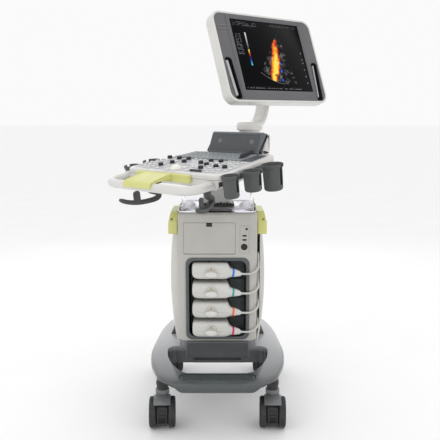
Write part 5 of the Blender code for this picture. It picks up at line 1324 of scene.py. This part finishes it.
def make_monitor():
    levels = [(0.0600, 0.0600, 0.018), (0.0400, 0.0598, 0.020), (0.0270, 0.0580, 0.024),
              (0.0140, 0.0540, 0.030), (0.0050, 0.0480, 0.036), (-0.0010, 0.0420, 0.039),
              (-0.0030, 0.0340, 0.041), (-0.0038, 0.0200, 0.041), (-0.0038, 0.0, 0.041),
              (-0.0034, -0.0022, 0.041), (-0.0022, -0.0037, 0.040), (0.0005, -0.0043, 0.037),
              (0.0034, -0.0040, 0.035), (0.0045, -0.0032, 0.034), (0.0048, -0.0020, 0.034),
              (0.0050, 0.0400, 0.032), (0.0150, 0.0460, 0.026)]
    hinge = SCREEN.inverted() @ (MACHINE @ (KNUCKLE_AXIS + Vector((0.0, 0.0, TILT_AXIS_Z))))
    tools = []
    for side in (-1, 1):
        low, high = sorted((side * 0.0245 + hinge.x, side * 0.0390 + hinge.x))
        ear = rounded_outline([(0.052, hinge.z - 0.024), (hinge.y + 0.016, hinge.z - 0.016),
                               (hinge.y + 0.016, hinge.z + 0.016), (0.052, hinge.z + 0.024)],
                              [0.001, 0.014, 0.014, 0.001], 10)
        tools.append(("UNION", prism(on_yz, ear, low, high)))
    for row in range(7):
        z = 0.100 - 0.011 * row
        tools.append(("DIFFERENCE", slab((-0.130, 0.0580, z), (0.115, 0.0680, z + 0.0045), 0.002)))
    bm = carve(skin([housing(inset, y, radius) for inset, y, radius in levels]), *tools)
    piece("display_rear_housing", bm, WHITE, "monitor", SCREEN, ["monitor_rear_shell"],
          bevel=0.0006, smooth=32.0)
    back = skin([housing(0.0650, 0.0570, 0.016), housing(0.0650, 0.0585, 0.016)])
    piece("display_vent_backing", back, BLACK, "monitor", SCREEN)

    def window(grow, y):
        radius = max(0.0015 + 0.5 * grow, 0.0005)
        return on_xz(centred_rect(SCREEN_HALF[0] + grow, SCREEN_HALF[1] + grow, radius, steps=12), y)

    rings = [on_xz(rect(-0.2630 + i, 0.2480 - i, -0.1875 + i, 0.1645 - i, r, 12), y)
             for i, r, y in ((0.0, 0.033, 0.0080), (0.0, 0.033, -0.0022), (0.0008, 0.032, -0.0031),
                             (0.0060, 0.028, -0.0034))]
    rings += [window(0.0090, -0.0032), window(0.0060, -0.0026), window(0.0042, -0.0016),
              window(0.0012, -0.0004),
              window(0.0006, 0.0080)]
    tools = [("DIFFERENCE", prism(on_xz, grip_outline(side), -0.02, 0.03))
             for side in (-1, 1)]
    for x in (-0.2048, -0.2085):
        seam = [on_xz(rect(x - 0.0004, x + 0.0004, -0.1860, 0.1630, 0.0003, 2), y) for y in (-0.0060, -0.0026)]
        tools.append(("DIFFERENCE", skin(seam)))
    piece("display_bezel", carve(skin(rings, loop=True), *tools), BEZEL, "monitor", SCREEN, ["monitor_bezel"],
          bevel=0.0004, smooth=30.0)

    for side, label in ((-1, "left"), (1, "right")):
        lip = skin([on_xz(grip_outline(side, 0.0022), -0.0028), on_xz(grip_outline(side, 0.0022), -0.0040),
                    on_xz(grip_outline(side, 0.0014), -0.0046), on_xz(grip_outline(side, 0.0004), -0.0044),
                    on_xz(grip_outline(side, -0.0004), -0.0030), on_xz(grip_outline(side, -0.0006), 0.0060),
                    on_xz(grip_outline(side, 0.0), 0.0060)], loop=True)
        piece(f"grip_edge_{label}", lip, BEZEL, "monitor", SCREEN, smooth=45.0)
        tub = skin([on_xz(grip_outline(side, -0.0002), -0.0020), on_xz(grip_outline(side, -0.0004), 0.0200),
                    on_xz(grip_outline(side, -0.0030), 0.0240), on_xz(grip_outline(side, -0.0040), 0.0225),
                    on_xz(grip_outline(side, -0.0018), 0.0190), on_xz(grip_outline(side, -0.0012), -0.0020)],
                   loop=True)
        floor = prism(on_xz, grip_outline(side, -0.0036), 0.0222, 0.0238)
        piece(f"grip_recess_{label}", tub, BLACK, "monitor", SCREEN, smooth=45.0)
        piece(f"grip_floor_{label}", floor, BLACK, "monitor", SCREEN)
        x_top, x_low = grip_ends(side)
        shift = -0.0085 if side < 0 else -0.0080
        line = [Vector((x_low + shift + (x_top - x_low) * t, -0.0010, -0.1720 + 0.1400 * t))
                for t in [k / 16 for k in range(17)]]
        bm = skin(sweep(line, lambda t: centred_rect(0.0060 if side < 0 else 0.0030, 0.0045, 0.0029,
                                                     steps=6)))
        piece(f"grip_bar_{label}", bm, GRIP_BAR, "monitor", SCREEN, smooth=45.0)

    bm = bmesh.new()
    for z, half in ((0.1130, 0.0032), (0.0985, 0.0032)):
        rings = []
        for inset, y in ((0.0, -0.0030), (0.0, -0.0044), (0.0008, -0.0050)):
            rings.append(on_xz(rect(-0.2540 + inset, -0.2130 - inset, z - half + inset, z + half - inset,
                                    0.0015, 5), y))
        skin(rings, bm=bm)
    for k in range(6):
        z = 0.0850 - 0.0100 * k
        skin([on_xz(rect(-0.2520 + inset, -0.2160 - inset, z - 0.0016 + inset, z + 0.0016 - inset, 0.0007,
                         4), y)
              for inset, y in ((0.0, -0.0030), (0.0, -0.0036), (0.0004, -0.0039))], bm=bm)
    for k in range(4):
        x = 0.107 + 0.019 * k
        skin([on_xz(centred_rect(0.0042 - inset, 0.0020 - inset, 0.0013, (x, -0.1710), 5), y)
              for inset, y in ((0.0, -0.0028), (0.0, -0.0042), (0.0005, -0.0047))], bm=bm)
    piece("display_front_details", bm, surface("bezel_detail", (0.145, 0.143, 0.152), 0.40), "monitor",
          SCREEN,
          smooth=40.0)


def display_material():
    """Black display with a generic fan-shaped scan, drawn from simple shapes and noise."""
    g = Graph("display_image")
    u = g.math("ADD", g.math("MULTIPLY", g.axis("X"), 1.0 / 0.366), 0.5)
    v = g.math("SUBTRACT", 0.5, g.math("MULTIPLY", g.axis("Z"), 1.0 / 0.2928))

    def inside(value, low, high, soft=0.004):
        rise = g.spread(value, low - soft, low + soft)
        fall = g.spread(value, high - soft, high + soft, 1.0, 0.0)
        return g.math("MULTIPLY", rise, fall)

    def times(*values):
        result = values[0]
        for value in values[1:]:
            result = g.math("MULTIPLY", result, value)
        return result

    def bent(stations, value):
        """Piecewise-linear function of a socket."""
        node = g.nodes.new("ShaderNodeFloatCurve")
        curve = node.mapping.curves[0]
        node.mapping.use_clip = False
        points = [Vector(p) for p in stations]
        curve.points[0].location = points[0]
        curve.points[-1].location = points[-1]
        for p in points[1:-1]:
            curve.points.new(p.x, p.y)
        node.mapping.update()
        g.links.new(value, node.inputs["Value"])
        return node.outputs["Value"]

    dx = g.math("MULTIPLY", g.math("SUBTRACT", u, 0.65), 1.25)
    dy = g.math("SUBTRACT", v, 0.13)
    reach = g.math("POWER", g.math("ADD", times(dx, dx), times(dy, dy)), 0.5)
    angle = g.math("ARCTAN2", dx, dy)
    fan = times(inside(angle, -0.66, 0.20, 0.006), inside(reach, 0.045, 0.775, 0.006))
    speckle = g.noise(330.0, 3.0)
    cloud = g.noise(34.0, 5.0, (1.0, 1.0, 1.6))
    echo = times(g.spread(speckle, 0.48, 0.78), g.spread(cloud, 0.46, 0.66))
    echo = g.math("ADD", echo, g.math("MULTIPLY", g.spread(cloud, 0.58, 0.75), 0.16))
    near = g.spread(reach, 0.05, 0.40, 0.55, 1.0)
    middle = bent([(0.10, 0.630), (0.286, 0.572), (0.45, 0.552), (0.60, 0.525), (0.75, 0.480), (0.875, 0.435),
                   (1.0, 0.40)], v)
    half = bent([(0.10, 0.010), (0.286, 0.030), (0.42, 0.048), (0.60, 0.066), (0.75, 0.060), (0.875, 0.036),
                 (1.0, 0.01)], v)
    off = g.math("SUBTRACT", u, middle)
    wobble = g.math("MULTIPLY", g.math("SUBTRACT", g.noise(48.0, 4.0), 0.5), 0.055)
    off = g.math("ADD", off, wobble)
    flow = g.spread(g.math("SUBTRACT", half, g.math("ABSOLUTE", off)), -0.003, 0.004)
    flow = times(flow, inside(v, 0.250, 0.885, 0.01), g.spread(g.noise(30.0, 3.0), 0.36, 0.42))
    core = g.math("SUBTRACT", 1.0, g.math("DIVIDE", g.math("ABSOLUTE", off), half))
    heat = g.math("ADD", g.math("MULTIPLY", core, g.spread(v, 0.30, 0.62, 0.35, 1.15)),
                  g.math("MULTIPLY", g.math("SUBTRACT", g.noise(70.0, 3.0), 0.5), 1.0))
    red = g.mix(g.spread(heat, 0.15, 0.42), rgb(0.62, 0.020, 0.008), rgb(0.90, 0.30, 0.012))
    red = g.mix(g.spread(heat, 0.45, 0.72), red, rgb(0.95, 0.78, 0.10))
    grey = g.math("MULTIPLY", times(fan, echo, near), 0.60)
    ash = g.nodes.new("ShaderNodeCombineColor")
    for socket in ash.inputs:
        g.links.new(grey, socket)
    image = g.mix(times(flow, fan), ash.outputs["Color"], red)
    blue = None
    for centre_u, centre_v, radius in ((0.598, 0.60, 0.020), (0.585, 0.71, 0.022), (0.570, 0.845, 0.016),
                                       (0.480, 0.52, 0.012)):
        a = g.math("MULTIPLY", g.math("SUBTRACT", u, centre_u), 1.25)
        b = g.math("SUBTRACT", v, centre_v)
        distance = g.math("POWER", g.math("ADD", times(a, a), times(b, b)), 0.5)
        distance = g.math("ADD", distance,
                          g.math("MULTIPLY", g.math("SUBTRACT", g.noise(90.0, 3.0), 0.5), 0.03))
        spot = g.spread(distance, radius - 0.003, radius + 0.003, 1.0, 0.0)
        blue = spot if blue is None else g.math("MAXIMUM", blue, spot)
    image = g.mix(times(blue, fan), image, rgb(0.02, 0.10, 0.62))
    rim = times(inside(reach, 0.772, 0.778, 0.001), inside(angle, -0.66, -0.10, 0.004))
    image = g.mix(g.math("MULTIPLY", rim, 0.35), image, rgb(0.5, 0.5, 0.5))

    bar = inside(u, 0.163, 0.181, 0.001)
    ramp = g.nodes.new("ShaderNodeValToRGB")
    ramp.color_ramp.elements[0].position = 0.0
    ramp.color_ramp.elements[0].color = rgb(0.75, 0.75, 0.72)
    ramp.color_ramp.elements[1].position = 1.0
    ramp.color_ramp.elements[1].color = rgb(0.10, 0.75, 0.80)
    for position, colour in ((0.50, (0.02, 0.02, 0.02)), (0.54, (0.90, 0.80, 0.10)),
                             (0.64, (0.75, 0.08, 0.02)), (0.75, (0.02, 0.01, 0.02)),
                             (0.86, (0.02, 0.06, 0.55))):
        element = ramp.color_ramp.elements.new(position)
        element.color = rgb(*colour)
    g.links.new(g.spread(v, 0.18, 0.65), ramp.inputs["Fac"])
    image = g.mix(times(bar, inside(v, 0.18, 0.65, 0.001)), image, ramp.outputs["Color"])

    def dashes(low_u, high_u, low_v, high_v, pitch, seed, strength):
        """Rows of short blocks standing for the panel's read-outs."""
        row = g.math("FRACT", g.math("MULTIPLY", v, 1.0 / pitch))
        line = inside(row, 0.28, 0.62, 0.06)
        index = g.math("FLOOR", g.math("MULTIPLY", v, 1.0 / pitch))
        cell = g.math("FLOOR", g.math("MULTIPLY", u, 1.0 / (pitch * 0.55)))
        hashed = g.math("FRACT", g.math("MULTIPLY", g.math("SINE", g.math(
            "ADD", g.math("MULTIPLY", cell, 12.9 + seed), g.math("MULTIPLY", index, 78.2))), 437.5))
        ink = times(line, g.spread(hashed, 0.40, 0.45), inside(u, low_u, high_u, 0.001),
                    inside(v, low_v, high_v, 0.001))
        return g.math("MULTIPLY", ink, strength)

    marks = dashes(0.02, 0.10, 0.20, 0.50, 0.022, 0.0, 0.30)
    for block in ((0.02, 0.36, 0.03, 0.095, 0.022, 1.0, 0.22), (0.55, 0.95, 0.03, 0.055, 0.022, 2.0, 0.20),
                  (0.03, 0.85, 0.950, 0.980, 0.024, 3.0, 0.30), (0.945, 0.955, 0.15, 0.92, 0.050, 4.0, 0.55)):
        marks = g.math("MAXIMUM", marks, dashes(*block))
    image = g.mix(marks, image, rgb(0.62, 0.68, 0.72))
    g.put(image, g.shader.inputs["Emission Color"])
    g.shader.inputs["Emission Strength"].default_value = 1.0
    g.shader.inputs["Base Color"].default_value = rgb(0.003, 0.003, 0.004)
    g.put(g.spread(g.noise(14.0, 4.0), 0.3, 0.7, 0.22, 0.30), g.shader.inputs["Roughness"])
    g.put(g.bump(g.noise(2200.0, 1.0), 0.02, 0.0001), g.shader.inputs["Normal"])
    g.shader.inputs["Specular IOR Level"].default_value = 0.04
    return g.mat


def make_display():
    def plate(inset, y):
        return on_xz(centred_rect(0.1829 - inset, 0.1463 - inset, 0.0012, steps=4), y)

    bm = skin([plate(0.0, 0.0110), plate(0.0, 0.0006), plate(0.0004, 0.0002)])
    piece("display_panel", bm, display_material(), "monitor", SCREEN, ["monitor_screen"])


# ---------------------------------------------------------------- pieces kept from the CAD frame
def finish_kept_nodes():
    for node, mat in (("chassis_frame", STEEL), ("electronics_rack", ALLOY)):
        obj = bpy.data.objects[node]
        obj.data.materials.clear()
        obj.data.materials.append(mat)


# ---------------------------------------------------------------- floor, light and camera
def make_stage():
    g = Graph("studio_floor")
    g.put(g.mix(g.spread(g.noise(3.0, 4.0), 0.3, 0.7), rgb(0.94, 0.94, 0.94), rgb(0.96, 0.96, 0.96)),
          g.shader.inputs["Base Color"])
    g.put(g.spread(g.noise(9.0, 5.0), 0.3, 0.7, 0.75, 0.9), g.shader.inputs["Roughness"])
    mesh = bpy.data.meshes.new("floor")
    bm = bmesh.new()
    bmesh.ops.create_grid(bm, x_segments=8, y_segments=8, size=60.0)
    bm.to_mesh(mesh)
    bm.free()
    mesh.materials.append(g.mat)
    floor = bpy.data.objects.new("studio_floor", mesh)
    bpy.context.scene.collection.objects.link(floor)


def area_light(name, place, target, size, power, colour=(1.0, 1.0, 1.0)):
    light = bpy.data.lights.new(name, "AREA")
    light.shape = "RECTANGLE"
    light.size, light.size_y = size
    light.energy = power
    light.color = colour
    obj = bpy.data.objects.new(name, light)
    bpy.context.scene.collection.objects.link(obj)
    obj.location = place
    obj.rotation_euler = (Vector(target) - Vector(place)).to_track_quat("-Z", "Y").to_euler()


def make_camera():
    camera = bpy.data.cameras.new("camera")
    camera.lens = 51.8
    camera.sensor_width = 36.0
    obj = bpy.data.objects.new("camera", camera)
    bpy.context.scene.collection.objects.link(obj)
    obj.location = (-0.0145, -2.434, 1.111)
    obj.rotation_euler = (math.radians(90.0 - 9.52), 0.0, 0.0)
    bpy.context.scene.camera = obj


def make_lights():
    area_light("key_softbox", (-1.9, -2.4, 2.7), (0.0, 0.0, 0.75), (2.2, 1.6), 11.0)
    area_light("fill_softbox", (2.3, -2.2, 1.5), (0.0, 0.0, 0.7), (1.8, 2.2), 3.0)
    area_light("top_softbox", (0.0, 0.5, 3.2), (0.0, 0.0, 0.5), (2.4, 2.4), 6.0)
    area_light("rear_softbox", (0.0, 2.6, 1.6), (0.0, 0.0, 0.5), (3.0, 1.6), 6.0)
    world = bpy.data.worlds.new("studio")
    world.use_nodes = True
    background = world.node_tree.nodes["Background"]
    background.inputs["Color"].default_value = rgb(1.0, 1.0, 1.0)
    background.inputs["Strength"].default_value = 0.96
    bpy.context.scene.world = world
    bpy.context.scene.view_settings.view_transform = "Standard"


make_camera()
make_cables()
make_stage()
make_lights()
make_base()
for caster in CASTERS:
    make_caster(caster)
make_tower()
make_door_and_ports()
make_bay()
make_plugs()
make_tray_and_column()
make_console_shells()
make_console_front()
make_keyboard()
make_controls()
make_trackball()
make_speaker()
for cup in CUPS:
    make_cup(cup)
make_hook("left", -1)
make_hook("right", 1)
make_arm()
make_knuckle()
make_monitor()
make_display()
finish_kept_nodes()
